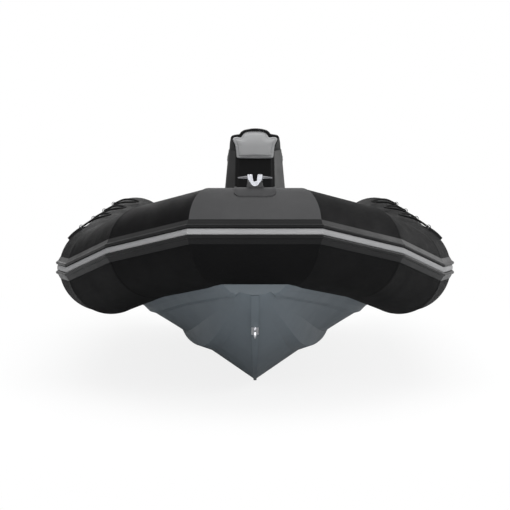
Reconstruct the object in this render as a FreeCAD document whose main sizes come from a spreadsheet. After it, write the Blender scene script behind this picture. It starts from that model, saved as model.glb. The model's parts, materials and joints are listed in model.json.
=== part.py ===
import FreeCAD, Part
import Sketcher
import math
import os
from FreeCAD import Placement, Rotation, Vector

# An inflatable boat with a rigid hull: a moulded V hull under a U of mitred buoyancy tubes, with a
# straddle console and seat amidships. +Z is up, the bow points along -Y, +X is the port side. The
# origin lies on the centreline amidships, at the waterline. All lengths are in millimetres.

doc = FreeCAD.newDocument("rib_boat")
sheet = doc.addObject("Spreadsheet::Sheet", "dimensions")
nodes = []

SIZES = [
    # buoyancy tube: radius, and the corners of its centreline on one side
    ("tube_radius", 210), ("nose_station", -1740), ("nose_height", 600), ("nose_half", 177),
    ("corner_a_x", 472), ("corner_a_y", -1373), ("corner_a_z", 508),
    ("corner_b_x", 678), ("corner_b_y", -957), ("corner_b_z", 393),
    ("side_x", 730), ("side_y", -763), ("side_z", 385), ("side_end", 1750),
    ("cone_length", 330), ("cone_end_radius", 95), ("cone_round", 40),
    ("glue_gap", 0.2), ("seat_gap", 0.3),
    # rubbing strake: two round ridges on a tapered flange, with a lighter band between
    ("strake_tilt", 10.4), ("strake_height", 104), ("strake_lip", 2), ("strake_foot", 7),
    ("ridge_top", 31), ("ridge_middle", 23.5), ("ridge_bottom", 15.5), ("ridge_out", 16),
    ("groove_out", 4), ("band_height", 26), ("band_out", 8), ("band_crown", 2), ("band_bevel", 1.5),
    # moulded hull
    ("flange_rise", 60), ("flange_reach", 90), ("flange_lip", 25), ("flange_step", 7),
    ("transom_station", 1560), ("deck_height", 90), ("deck_thickness", 14), ("well_top", 420),
    ("nose_lip_drop", 212), ("nose_lip_side_drop", 224), ("nose_lip_half", 144), ("nose_lip_back", -1750),
    ("lens_half", 72), ("lens_rise", 15), ("lens_front", -1808),
    ("strip_width", 34), ("strip_toe_width", 13), ("strip_wide_height", 190), ("strip_toe_height", -140),
    ("strip_depth", 4), ("strip_root", 16),
    # transom and motor pads
    ("transom_thickness", 52), ("transom_top", 400), ("transom_inset", 90), ("motor_gap_width", 520),
    ("motor_gap_depth", 30), ("motor_gap_flare", 30), ("pad_width", 300), ("pad_height", 210),
    ("pad_thickness", 10), ("pad_drop", 12),
    # bow locker and its lid
    ("locker_front", -1440), ("locker_back", -870), ("locker_top", 372), ("locker_depth", 182), ("locker_front_depth", 32),
    ("hatch_front", -1330), ("hatch_back", -930), ("hatch_front_half", 150), ("hatch_back_half", 235),
    ("lid_overlap", 22), ("lid_thickness", 16), ("lid_gap", 0.5), ("lid_corner", 35), ("hinge_radius", 7),
    ("hinge_pin_radius", 3), ("hinge_length", 70), ("hinge_clearance", 0.05), ("hinge_side_gap", 0.5),
    ("lid_hinge_x", 90), ("seat_hinge_x", 80),
    # wells in the hull: the cockpit's sections from bow to stern, and the anchor locker
    ("wella_y", -850), ("wella_floor", 262), ("wella_low_x", 385), ("wella_low_z", 190),
    ("wella_side_x", 470), ("wella_side_z", 240),
    ("wellb_y", -500), ("wellb_floor", 345), ("wellb_low_x", 450), ("wellb_low_z", 150),
    ("wellb_side_x", 508), ("wellb_side_z", 205),
    ("wellc_y", -50), ("wellc_floor", 385), ("wellc_low_x", 464), ("wellc_low_z", 156),
    ("wellc_side_x", 512), ("wellc_side_z", 205),
    ("welld_y", 450), ("welld_floor", 408), ("welld_low_x", 470), ("welld_low_z", 158),
    ("welld_side_x", 512), ("welld_side_z", 205),
    ("welle_y", 1000), ("welle_floor", 422), ("welle_low_x", 472), ("welle_low_z", 158),
    ("welle_side_x", 512), ("welle_side_z", 205),
    ("wellf_y", 1570), ("wellf_floor", 430), ("wellf_low_x", 473), ("wellf_low_z", 158),
    ("wellf_side_x", 512), ("wellf_side_z", 205),
    ("locker_floor", 190), ("locker_front_half", 235), ("locker_lap", 8),
    # console sections: base, waist and top
    ("consolea_z", 90), ("consolea_front_y", -560), ("consolea_front_half", 108), ("consolea_side_y", -420),
    ("consolea_side_half", 188), ("consolea_back_y", -90),
    ("consoleb_z", 740), ("consoleb_front_y", -520), ("consoleb_front_half", 94), ("consoleb_side_y", -400),
    ("consoleb_side_half", 151), ("consoleb_back_y", -110),
    ("consolec_z", 940), ("consolec_front_y", -484), ("consolec_front_half", 90), ("consolec_side_y", -388),
    ("consolec_side_half", 132), ("consolec_back_y", -125), ("console_round", 18),
    # cowl over the console, with a padded front
    ("cowl_front", -492), ("cowl_depth", 260), ("cowl_base_half", 128), ("cowl_waist_half", 125),
    ("cowl_waist_z", 978), ("cowl_shoulder_half", 121), ("cowl_shoulder_z", 998), ("cowl_ledge_half", 106),
    ("cowl_ledge_z", 1015), ("crown_half", 77), ("crown_foot_z", 1020), ("crown_flat_half", 50),
    ("crown_flat_z", 1041), ("cowl_round", 17), ("crown_round", 40), ("crown_radius", 190), ("cowl_rim", 6),
    ("cowl_back_y", -238), ("panel_front", -522), ("panel_base", 902), ("panel_foot_half", 91),
    ("panel_round", 7), ("dash_thickness", 6), ("dash_half", 104), ("dash_low", 96), ("dash_high", 66),
    # wheel and throttle
    ("wheel_y", -20), ("wheel_z", 880), ("wheel_radius", 132), ("wheel_rim_radius", 12), ("wheel_tilt", 32),
    ("wheel_hub_radius", 32), ("wheel_hub_length", 30), ("wheel_reach", 78), ("spoke_root_width", 34),
    ("spoke_width", 20), ("spoke_thickness", 7), ("spoke_start_angle", 90), ("shaft_radius", 11),
    ("bezel_radius", 46), ("bezel_top_radius", 26), ("bezel_height", 24),
    ("throttle_y", -210), ("throttle_z", 612), ("throttle_length", 110), ("throttle_height", 120),
    ("throttle_depth", 46), ("throttle_inset", 14), ("lever_length", 104), ("lever_lean", 20), ("lever_width", 18),
    ("lever_thickness", 9), ("lever_boss_radius", 22), ("lever_grip_radius", 12), ("lever_grip_length", 62),
    # seat
    ("seat_front", 130), ("seat_length", 720), ("seat_half", 150), ("seat_base_top", 470), ("seat_taper", 22),
    ("cushion_thickness", 95), ("seat_lid_thickness", 14), ("seat_lid_lip", 6), ("seat_wall", 10),
    ("cushion_corner", 45), ("cushion_round", 24), ("backrest_gap", 18), ("backrest_rise", 150),
    ("backrest_half", 140), ("backrest_height", 265), ("backrest_thickness", 75), ("backrest_tube", 14),
    ("backrest_tube_half", 104), ("backrest_bend", 60), ("post_flange", 32), ("post_flange_height", 6),
    # bow fittings
    ("bow_pad_half", 88), ("bow_pad_reach", 114), ("bow_pad_thickness", 4), ("bow_pad_rim", 9),
    ("bow_pad_rim_rise", 2.5), ("bow_pad_corner", 26), ("pad_room_gap", 0.3),
    ("fairlead_base_half", 37), ("fairlead_neck_half", 31), ("horn_room", 0.6),
    ("fairlead_base_depth", 34), ("fairlead_depth", 42), ("fairlead_height", 55), ("fairlead_top_half", 32),
    ("fairlead_waist_half", 29), ("fairlead_waist", 34), ("fairlead_toe_half", 14), ("fairlead_toe", 13),
    ("slot_top_half", 12), ("slot_low_half", 8), ("slot_low", 29), ("slot_floor_radius", 9), ("toe_radius", 18),
    ("horn_height", 40), ("horn_length", 46), ("horn_radius", 10), ("horn_tip", 3.5),
    ("patch_back_angle", 60), ("patch_edge_angle", 0.25), ("patch_thickness", 1.6),
    ("eye_rod", 5), ("eye_half", 16), ("eye_reach", 34), ("eye_plate", 4), ("eye_plate_half", 16),
    ("eye_plate_long", 30), ("eye_height", 190),
    # lifelines with their patches and rings, handles and valves
    ("rope_radius", 5), ("rope_arch", 22), ("rope_angle", 60), ("rope_swing", 32), ("rope_swing_step", 7),
    ("patch_length", 96), ("patch_width", 62), ("patch_rubber", 4), ("patch_corner", 20),
    ("loop_bar", 3.5), ("loop_width", 9), ("loop_half", 10), ("loop_height", 20), ("holder_first", 60), ("holder_pitch", 700),
    ("tail_station", 20), ("tail_length", 34), ("tail_width", 84), ("tail_angle", 50), ("tail_rise", 13),
    ("tail_corner", 7),
    ("handle_span", 200), ("handle_pad", 84), ("handle_width", 40), ("handle_margin", 14), ("handle_rise", 46),
    ("handle_strap", 5), ("handle_angle", 128), ("handle_station", 700), ("handle_pitch", 800),
    ("valve_radius", 27), ("valve_height", 9), ("valve_angle", 155), ("valve_shoulder", 240),
    ("valve_side", 1200), ("stern_eye_x", 400), ("stern_eye_z", 235), ("drain_radius", 24),
    ("drain_height", 118), ("drain_flange", 5), ("drain_knob", 16),
]
# in the first five rows, abeam of the rising tubes, heights are drops below the tube's axis
STATION_FIELDS = ("y", "keel", "turn_x", "turn_z", "chine_x", "chine_z", "knuckle_x", "knuckle_z", "rim_x", "rim_z")
STATIONS = [
    (-1815, 242, 30, 239, 48, 235, 66, 228, 128, 206),
    (-1740, 332, 50, 310, 76, 297, 99, 278, 165, 232),
    (-1640, 391.9, 73, 346.9, 107, 327.9, 136, 291.9, 212, 223.9),
    (-1450, 483.3, 121, 397.3, 167, 377.3, 203, 302.3, 298, 211.3),
    (-1200, 534.2, 168, 418.2, 234, 398.2, 265, 305.2, 398, 192.2),
    (-900, -139, 211, 6, 299, 39, 321, 93, 512, 209),
    (-500, -158, 251, -8, 351, 34, 365, 62, 547, 207),
    (-100, -160, 287, -8, 379, 30, 396, 57, 551, 207),
    (300, -158, 315, -6, 396, 27, 417, 57, 551, 207),
    (700, -155, 334, -4, 407, 23, 431, 60, 551, 207),
    (1120, -152, 345, -3, 413, 20, 440, 63, 551, 207),
    (1560, -150, 350, -2, 416, 18, 446, 66, 551, 207),
]
for number, station in enumerate(STATIONS):
    for field, size in zip(STATION_FIELDS, station):
        SIZES.append(("hull%s_%s" % ("abcdefghijkl"[number], field), size))

for row, (name, size) in enumerate(SIZES, start=1):
    sheet.set("A%d" % row, name)
    sheet.set("B%d" % row, str(size))
    sheet.setAlias("B%d" % row, name)
doc.recompute()


def size(name):
    return float(sheet.get(name))


def formula(text):
    """Write the sheet's name before each of its aliases in a formula."""
    out = []
    word = ""
    for letter in text + " ":
        if letter.isalnum() or letter == "_":
            word += letter
        else:
            out.append("dimensions." + word if word and word[0].isalpha() and word not in KEEP else word)
            out.append(letter)
            word = ""
    return "".join(out).strip()


KEEP = ("sin", "cos", "tan", "sqrt", "deg", "mm", "min", "max")


def number(text):
    found = sheet.evalExpression(formula(str(text)))
    return float(getattr(found, "Value", found))


def bind(item, prop, text):
    item.setExpression(prop, formula(str(text)))


def place(item, x="0", y="0", z="0"):
    bind(item, "Placement.Base.x", x)
    bind(item, "Placement.Base.y", y)
    bind(item, "Placement.Base.z", z)


def box(name, x, y, z, dx, dy, dz):
    item = doc.addObject("Part::Box", name)
    bind(item, "Length", dx)
    bind(item, "Width", dy)
    bind(item, "Height", dz)
    place(item, x, y, z)
    return item


def cylinder(name, radius, height, x="0", y="0", z="0", along=Vector(0, 0, 1)):
    item = doc.addObject("Part::Cylinder", name)
    bind(item, "Radius", radius)
    bind(item, "Height", height)
    item.Placement = Placement(Vector(), Rotation(Vector(0, 0, 1), along))
    place(item, x, y, z)
    return item


def cut(name, base, tool):
    item = doc.addObject("Part::Cut", name)
    item.Base = base
    item.Tool = tool
    return item


def fuse(name, parts):
    item = doc.addObject("Part::MultiFuse", name)
    item.Shapes = parts
    return item


def common(name, base, tool):
    item = doc.addObject("Part::Common", name)
    item.Base = base
    item.Tool = tool
    return item


def mirrored(name, source):
    item = doc.addObject("Part::Mirroring", name)
    item.Source = source
    item.Normal = Vector(1, 0, 0)
    return item


def solid(name, shape):
    item = doc.addObject("Part::Feature", name)
    item.Shape = shape
    item.Placement = shape.Placement
    return item


def node(label, item):
    item.Label = label
    nodes.append(item)
    return item


def plane(body, role):
    return [f for f in body.Origin.OriginFeatures if f.Role == role][0]


def bulge(start, end, arc_radius):
    """An arc between two points of a sketch; a negative radius turns it clockwise."""
    if arc_radius < 0:
        return bulge(end, start, -arc_radius)
    chord = end - start
    left = Vector(-chord.y, chord.x, 0).normalize()
    centre = start + chord * 0.5 + left * math.sqrt(arc_radius ** 2 - (chord.Length / 2) ** 2)
    first = math.atan2(start.y - centre.y, start.x - centre.x)
    last = math.atan2(end.y - centre.y, end.x - centre.x)
    if last < first:
        last += 2 * math.pi
    return Part.ArcOfCircle(Part.Circle(centre, Vector(0, 0, 1), arc_radius), first, last)


def outline(body, name, role, corners, offset="0"):
    """A closed sketch. A corner is (x, y), or (x, y, radius) where an arc leads on to the next."""
    sketch = body.newObject("Sketcher::SketchObject", name)
    sketch.AttachmentSupport = [(plane(body, role), "")]
    sketch.MapMode = "FlatFace"
    bind(sketch, "AttachmentOffset.Base.z", offset)
    points = [Vector(number(corner[0]), number(corner[1]), 0) for corner in corners]
    count = len(points)
    heads = []
    for i, corner in enumerate(corners):
        after = points[(i + 1) % count]
        arc_radius = number(corner[2]) if len(corner) == 3 else 0
        heads.append(2 if arc_radius < 0 else 1)
        side = bulge(points[i], after, arc_radius) if arc_radius else Part.LineSegment(points[i], after)
        sketch.addGeometry(side, False)
    for i in range(count):
        j = (i + 1) % count
        sketch.addConstraint(Sketcher.Constraint("Coincident", i, 3 - heads[i], j, heads[j]))
    for i, corner in enumerate(corners):
        for kind, text in (("DistanceX", corner[0]), ("DistanceY", corner[1])):
            at = sketch.addConstraint(Sketcher.Constraint(kind, -1, 1, i, heads[i], number(text)))
            bind(sketch, "Constraints[%d]" % at, text)
        if len(corner) == 3:
            at = sketch.addConstraint(Sketcher.Constraint("Radius", i, abs(number(corner[2]))))
            bind(sketch, "Constraints[%d]" % at, corner[2].lstrip("-"))
    return sketch


def body_of(name):
    return doc.addObject("PartDesign::Body", name)


def pad(body, name, sketch, length):
    item = body.newObject("PartDesign::Pad", name)
    item.Profile = sketch
    bind(item, "Length", length)
    return item


def prism(name, role, corners, length, offset="0"):
    body = body_of(name)
    sketch = outline(body, name + "_outline", role, corners, offset)
    pad(body, name + "_pad", sketch, length)
    return body


def both_sides(half):
    """Close an outline that is symmetrical about the centreline, from its half on the port side."""
    other = []
    for i in range(len(half) - 1, -1, -1):
        corner = ("0 - (" + half[i][0] + ")", half[i][1])
        if i and len(half[i - 1]) == 3:
            corner += (half[i - 1][2],)
        other.append(corner)
    return half + other


def soften(body, radius, chosen):
    """Round the edges of a body's last feature that pass a test."""
    doc.recompute()
    base = body.Tip
    names = ["Edge%d" % (k + 1) for k, edge in enumerate(base.Shape.Edges) if chosen(edge)]
    item = body.newObject("PartDesign::Fillet", base.Name + "_round")
    item.Base = (base, names)
    bind(item, "Radius", radius)
    doc.recompute()
    return item


def along(direction):
    """A test for straight edges that run nearly along a direction."""
    def chosen(edge):
        ends = [vertex.Point for vertex in edge.Vertexes]
        if len(ends) != 2:
            return False
        return abs((ends[1] - ends[0]).normalize().dot(direction)) > 0.95
    return chosen


def at_level(axis, level):
    """A test for edges that lie in a plane across the axis."""
    def chosen(edge):
        box_of = edge.BoundBox
        low = getattr(box_of, axis + "Min")
        high = getattr(box_of, axis + "Max")
        return abs(low - level) < 0.05 and abs(high - level) < 0.05
    return chosen


def rectangle(x_half, y_low, y_high):
    return both_sides([(x_half, y_low), (x_half, y_high)])


# Tubes
RIGHT = [
    Vector(0, size("nose_station"), size("nose_height")),
    Vector(size("nose_half"), size("nose_station"), size("nose_height")),
    Vector(size("corner_a_x"), size("corner_a_y"), size("corner_a_z")),
    Vector(size("corner_b_x"), size("corner_b_y"), size("corner_b_z")),
    Vector(size("side_x"), size("side_y"), size("side_z")),
    Vector(size("side_x"), size("side_end"), size("side_z")),
]


def way(i):
    return (RIGHT[i + 1] - RIGHT[i]).normalize()


def mitre(i):
    """Normal of the plane in which two lengths of tube meet at corner i."""
    if i == 0:
        return Vector(1, 0, 0)
    if i == len(RIGHT) - 1:
        return way(i - 1)
    return (way(i - 1) + way(i)).normalize()


def beyond(point, normal, reach=1500.0):
    """A large block on the far side of a plane."""
    block = Part.makeBox(2 * reach, 2 * reach, reach, Vector(-reach, -reach, 0))
    block.Placement = Placement(point, Rotation(Vector(0, 0, 1), normal))
    return block


def between(shape, i):
    """Trim a length of tube or strake by the two mitre planes at its ends."""
    trimmed = shape.cut(beyond(RIGHT[i + 1], mitre(i + 1)))
    return trimmed.cut(beyond(RIGHT[i], mitre(i) * -1))


def tube_length(i, radius, over=400.0):
    start = RIGHT[i] - way(i) * over
    length = (RIGHT[i + 1] - RIGHT[i]).Length + 2 * over
    return between(Part.makeCylinder(radius, length, start, way(i)), i)


def swept_frames():
    """Outward and upward directions of the strake in each length, carried on without twist."""
    tilt = math.radians(size("strake_tilt"))
    outward = Vector(0, -math.cos(tilt), math.sin(tilt))
    frames = []
    for i in range(len(RIGHT) - 1):
        frames.append((outward, way(i).cross(outward) * -1))
        normal = mitre(i + 1)
        outward = outward - normal * (2 * outward.dot(normal))
        outward.normalize()
    return frames


FRAMES = swept_frames()


def strake_length(i, section, crests=(), over=400.0):
    """Extrude a section along length i. It is given as (out, up) pairs from the tube's axis, and an
    arc passes through each pair whose place in the list is in crests."""
    out, up = FRAMES[i]
    start = RIGHT[i] - way(i) * over
    corners = [start + out * a + up * b for a, b in section]
    corners.append(corners[0])
    sides = []
    k = 0
    while k < len(corners) - 1:
        if k + 1 in crests:
            sides.append(Part.Arc(corners[k], corners[k + 1], corners[k + 2]).toShape())
            k += 2
        else:
            sides.append(Part.makeLine(corners[k], corners[k + 1]))
            k += 1
    face = Part.Face(Part.Wire(sides))
    length = (RIGHT[i + 1] - RIGHT[i]).Length + 2 * over
    return between(face.extrude(way(i) * length), i)


radius = size("tube_radius")
nose_half_solid = tube_length(0, radius)
nose = nose_half_solid.fuse(nose_half_solid.mirror(Vector(), Vector(1, 0, 0))).removeSplitter()
tube_nose = node("tube_nose", solid("tube_nose", nose))
for i, part_name in ((1, "shoulder_a"), (2, "shoulder_b"), (3, "shoulder_c"), (4, "side")):
    port = node("tube_%s_port" % part_name, solid("tube_%s_port" % part_name, tube_length(i, radius)))
    node("tube_%s_starboard" % part_name, mirrored("tube_%s_starboard" % part_name, port))

# stern cones, turned about the tube's axis, with a rounded end
cone = body_of("tube_cone_port_body")
cone_sketch = outline(cone, "cone_outline", "XY_Plane", [
    ("side_x", "side_end"), ("side_x + tube_radius", "side_end"),
    ("side_x + cone_end_radius", "side_end + cone_length"), ("side_x", "side_end + cone_length")])
turn = cone.newObject("PartDesign::Revolution", "cone_turn")
turn.Profile = cone_sketch
turn.ReferenceAxis = (cone_sketch, ["Edge4"])
turn.Angle = 360
soften(cone, "cone_round", at_level("Y", size("side_end") + size("cone_length")))
cone.setExpression("Placement.Base.z", "dimensions.side_z")
node("tube_cone_port", cone)
node("tube_cone_starboard", mirrored("tube_cone_starboard", cone))

# the space the tubes take out of the mouldings that cradle them
seat_radius = radius + size("seat_gap")
space = []
for i in range(5):
    length = tube_length(i, seat_radius)
    space += [length, length.mirror(Vector(), Vector(1, 0, 0))]
tube_space = solid("tube_space", space[0].fuse(space[1:]).removeSplitter())

# RUBBING STRAKE
half = size("strake_height") / 2
root = radius * math.cos(half / radius) - 4
lip = math.sqrt(radius ** 2 - half ** 2) + size("strake_lip")
groove = radius + size("groove_out")
crest = [(radius + size("strake_foot"), size("ridge_top")), (radius + size("ridge_out"), size("ridge_middle")),
         (groove, size("ridge_bottom"))]
upper = [(root, half), (lip, half)] + crest
STRAKE = [(out, -up) for out, up in upper] + [(out, up) for out, up in reversed(upper)]
band_half = size("band_height") / 2
band_face = radius + size("band_out")
edge_up = band_half - size("band_bevel")
BAND = [(groove, -band_half), (band_face, -edge_up), (band_face + size("band_crown"), 0), (band_face, edge_up),
        (groove, band_half)]
skin = radius + size("glue_gap")
strakes = [strake_length(i, STRAKE, (3, 6)).cut(tube_length(i, skin)) for i in range(5)]
bands = [strake_length(i, BAND, (2,)) for i in range(5)]
mirror_x = (Vector(), Vector(1, 0, 0))
nose_strake = strakes[0].fuse(strakes[0].mirror(*mirror_x)).removeSplitter()
node("strake_nose", solid("strake_nose", nose_strake))
side_strake = strakes[1].fuse(strakes[2:]).removeSplitter()
strake_port = node("strake_port", solid("strake_port", side_strake))
node("strake_starboard", mirrored("strake_starboard", strake_port))
half_band = bands[0].fuse(bands[1:])
band_shape = half_band.fuse(half_band.mirror(*mirror_x)).removeSplitter()
node("strake_band", solid("strake_band", band_shape))

# HULL
LETTERS = "abcdefghijkl"
BOW_LETTERS = "abcde"


def station_height(letter, field):
    """A formula for a height on a hull station; at the bow it hangs from the tube's axis abeam."""
    station = "hull%s_y" % letter
    height = "hull%s_%s" % (letter, field)
    if letter not in BOW_LETTERS:
        return height
    if size(station) <= size("nose_station"):
        return "nose_height - " + height
    ahead = ("nose_station", "nose_height")
    for corner in ("corner_a", "corner_b"):
        behind = (corner + "_y", corner + "_z")
        if size(station) <= size(behind[0]):
            break
        ahead = behind
    rise = "(%s - %s) * (%s - %s) / (%s - %s)" % (ahead[1], behind[1], station, behind[0], ahead[0], behind[0])
    return "%s + %s - %s" % (behind[1], rise, height)


hull_lines = body_of("hull_lines")
sections = []
for letter in LETTERS:
    p = "hull" + letter + "_"
    rim_z = station_height(letter, "rim_z")
    side = [(p + line + "_x", station_height(letter, line + "_z")) for line in ("turn", "chine", "knuckle")]
    side += [
        (p + "rim_x - 2 * flange_lip", rim_z + " - flange_lip - flange_step"),
        (p + "rim_x - flange_lip", rim_z + " - flange_lip"), (p + "rim_x", rim_z),
        (p + "rim_x + flange_reach", rim_z + " + flange_rise")]
    corners = [("0", station_height(letter, "keel"))] + both_sides(side)
    sections.append(outline(hull_lines, "section_" + letter, "XZ_Plane", corners, "0 - " + p + "y"))
hull_form = doc.addObject("Part::Loft", "hull_form")
hull_form.Sections = sections
hull_form.Solid = True
hull_form.Ruled = False
hull_form.MaxDegree = 3
doc.recompute()

well_form = body_of("well_form")
sections = []
for letter in "abcdef":
    p = "well" + letter + "_"
    side = [
        (p + "floor", "deck_height - deck_thickness"), (p + "low_x", p + "low_z"),
        (p + "side_x", p + "side_z"), (p + "side_x + 3", "well_top")]
    sections.append(outline(well_form, "well_section_" + letter, "XZ_Plane", both_sides(side), "0 - " + p + "y"))
loft = well_form.newObject("PartDesign::AdditiveLoft", "well_loft")
loft.Profile = sections[0]
loft.Sections = sections[1:]

locker_corners = [
    ("hatch_front_half", "hatch_front"), ("hatch_back_half", "hatch_back"),
    ("0 - hatch_back_half", "hatch_back"), ("0 - hatch_front_half", "hatch_front")]
locker_well = prism("locker_well", "XY_Plane", locker_corners, "well_top", "locker_floor")
doc.recompute()
hull_open = cut("hull_open", cut("hull_decked", hull_form, well_form), locker_well)
hull_cradled = cut("hull_cradled", hull_open, tube_space)

# the bow's lip: an arched edge below the nose tube, with a lens of the moulding rising to the tube
lip_centre = size("nose_height") - size("nose_lip_drop")
arch_rise = size("nose_lip_side_drop") - size("nose_lip_drop")
arch_radius = (size("nose_lip_half") ** 2 + arch_rise ** 2) / (2 * arch_rise)
bow_room = size("nose_lip_back") + 460
arch_low = Vector(0, -bow_room, lip_centre - arch_radius)
above_arch = Part.makeBox(800, 460, size("tube_radius"), Vector(-400, -bow_room, lip_centre - arch_rise - 40))
above_arch = above_arch.cut(Part.makeCylinder(arch_radius, 800, arch_low, Vector(0, 1, 0)))
lens_oval = Part.Ellipse(Vector(size("lens_half"), 0, 0), Vector(0, size("lens_rise"), 0), Vector())
lens_face = Part.Face(Part.Wire(lens_oval.toShape()))
lens_face.rotate(Vector(), Vector(1, 0, 0), 90)
lens_face.translate(Vector(0, size("lens_front"), lip_centre))
lens = lens_face.extrude(Vector(0, size("nose_lip_back") - size("lens_front") + 6, 0))
lip_trim = solid("lip_trim", above_arch.cut(lens))
hull = node("hull", cut("hull_lipped", hull_cradled, lip_trim))

slab = box("deck_slab", "0 - wellf_side_x", "wella_y - 20", "deck_height - deck_thickness",
           "2 * wellf_side_x", "transom_station - transom_thickness - wella_y + 20", "deck_thickness")
deck = node("deck", common("deck_panel", well_form, slab))


def keel_curve():
    points = [Vector(0, size("hull%s_y" % c), number(station_height(c, "keel"))) for c in LETTERS]
    curve = Part.BSplineCurve()
    curve.interpolate(points)
    return curve


def keel_frame(curve, at):
    """Point on the stem or keel, and the direction away from the hull there."""
    out = Vector(1, 0, 0).cross(curve.tangent(at)[0])
    if out.z > 0:
        out = out * -1
    return curve.value(at), out


def keel_strip():
    """A band along the stem and keel, seated on the hull's edge and narrowing towards the forefoot."""
    curve = keel_curve()
    lower = []
    upper = []
    for k in range(49):
        at = curve.FirstParameter + (curve.LastParameter - curve.FirstParameter) * k / 48.0
        point, out = keel_frame(curve, at)
        lower.append(point + out * size("strip_depth"))
        upper.append(point - out * size("strip_root"))
    low = Part.BSplineCurve()
    low.interpolate(lower)
    high = Part.BSplineCurve()
    high.interpolate(list(reversed(upper)))
    edges = [low.toShape(), Part.makeLine(lower[-1], upper[-1]), high.toShape(), Part.makeLine(upper[0], lower[0])]
    face = Part.Face(Part.Wire(edges))
    half_width = size("strip_width") / 2
    face.translate(Vector(-half_width, 0, 0))
    return face.extrude(Vector(2 * half_width, 0, 0))


strip_front = prism("strip_front", "XZ_Plane", both_sides([
    ("strip_toe_width / 2", "strip_toe_height - 2 * strip_root"), ("strip_toe_width / 2", "strip_toe_height"),
    ("strip_width / 2", "strip_wide_height"), ("strip_width / 2", "well_top")]),
    "hulll_y - hulla_y + 200", "0 - hulll_y - 100")
strip_form = common("strip_form", solid("strip_band", keel_strip()), strip_front)
strip = node("keel_strip", cut("strip_clear", cut("strip_seated", strip_form, hull_form), tube_space))

# TRANSOM
transom_half = [
    ("wellf_floor - 3", "deck_height - deck_thickness"), ("wellf_low_x - 2", "wellf_low_z"),
    ("wellf_side_x - 3", "wellf_side_z"), ("wellf_side_x - 3", "hulll_rim_z + flange_rise + seat_gap"),
    ("side_x - transom_inset", "hulll_rim_z + flange_rise + seat_gap"), ("side_x - transom_inset", "transom_top"),
    ("motor_gap_width / 2 + motor_gap_flare", "transom_top"),
    ("motor_gap_width / 2", "transom_top - motor_gap_depth")]
transom_form = prism("transom_form", "XZ_Plane", both_sides(transom_half), "transom_thickness",
                     "0 - transom_station")
doc.recompute()
transom_trim = cut("transom_trim", transom_form, tube_space)
node("transom", cut("transom_seated", transom_trim, hull))
pad_base = "transom_top - motor_gap_depth - pad_height - pad_drop"
for side_name, station in (
        ("outer", "transom_station"), ("inner", "transom_station - transom_thickness - pad_thickness")):
    plate = box("motor_pad_" + side_name, "0 - pad_width / 2", station, pad_base, "pad_width", "pad_thickness",
                "pad_height")
    node("motor_pad_" + side_name, plate)

# BOW LOCKER
coaming_corners = [
    ("locker_front_half", "locker_front"), ("wella_side_x + locker_lap", "locker_back"),
    ("0 - (wella_side_x + locker_lap)", "locker_back"), ("0 - locker_front_half", "locker_front")]
coaming_plan = prism("coaming_plan", "XY_Plane", coaming_corners, "locker_depth", "locker_top - locker_depth")
coaming_side = prism("coaming_side", "YZ_Plane", [
    ("locker_front", "locker_top - locker_front_depth"), ("locker_back", "locker_top - locker_depth + 40"),
    ("locker_back", "locker_top"), ("locker_front", "locker_top")], "2 * (wella_side_x + locker_lap)", "0 - (wella_side_x + locker_lap)")
doc.recompute()
coaming = common("coaming", coaming_plan, coaming_side)
coaming_open = cut("coaming_open", cut("coaming_trim", coaming, tube_space), locker_well)
coaming_seated = cut("coaming_seated", coaming_open, hull_form)
node("bow_locker", coaming_seated)
lid_half = [
    ("hatch_front_half + lid_overlap", "hatch_front - lid_overlap"),
    ("hatch_back_half + lid_overlap", "hatch_back + lid_overlap")]
lid_plate = prism("lid_plate", "XY_Plane", both_sides(lid_half), "lid_thickness", "locker_top + lid_gap")
soften(lid_plate, "lid_corner", along(Vector(0, 0, 1)))


def hinge_pair(name, hinge_x, hinge_y, hinge_z, base_z):
    """Two butt hinges on one axis along X: fixed knuckles with a pin, and sleeves on the lid."""
    fixed = []
    moving = []
    across = Vector(1, 0, 0)
    third = "(hinge_length / 3)"
    sleeve_length = third + " - 2 * hinge_side_gap"
    for k, middle in enumerate((hinge_x, "0 - " + hinge_x)):
        tag = "%s_%d" % (name, k)
        fixed.append(cylinder(tag + "_pin", "hinge_pin_radius", "hinge_length", middle + " - hinge_length / 2",
                              hinge_y, hinge_z, across))
        for end in (-1, 1):
            start = middle + (" - hinge_length / 2" if end < 0 else " + hinge_length / 2 - " + third)
            fixed.append(cylinder(tag + "_knuckle%d" % (end + 1), "hinge_radius", third, start, hinge_y, hinge_z,
                                  across))
            fixed.append(box(tag + "_leaf%d" % (end + 1), start, hinge_y + " - hinge_radius", base_z, third,
                             "2 * hinge_radius", hinge_z + " - (" + base_z + ")"))
        start = middle + " - " + third + " / 2 + hinge_side_gap"
        sleeve = cylinder(tag + "_sleeve", "hinge_radius", sleeve_length, start, hinge_y, hinge_z, across)
        tab = box(tag + "_tab", start, hinge_y, hinge_z + " - 2", sleeve_length, "2 * hinge_radius",
                  "hinge_radius + 2")
        bore = cylinder(tag + "_bore", "hinge_pin_radius + hinge_clearance", third, start + " - hinge_side_gap",
                        hinge_y, hinge_z, across)
        moving.append(cut(tag + "_eye", fuse(tag + "_eye_solid", [sleeve, tab]), bore))
    return fixed, moving


lid_hinge_z = "locker_top + hinge_radius + 1.5"
lid_hinge_y = "hatch_front - lid_overlap - 1.6 * hinge_radius"
fixed, moving = hinge_pair("locker_hinge", "lid_hinge_x", lid_hinge_y, lid_hinge_z, "locker_top")
node("bow_locker_hinges", fuse("locker_hinges", fixed))
node("bow_locker_lid", fuse("locker_lid", [lid_plate] + moving))

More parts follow.
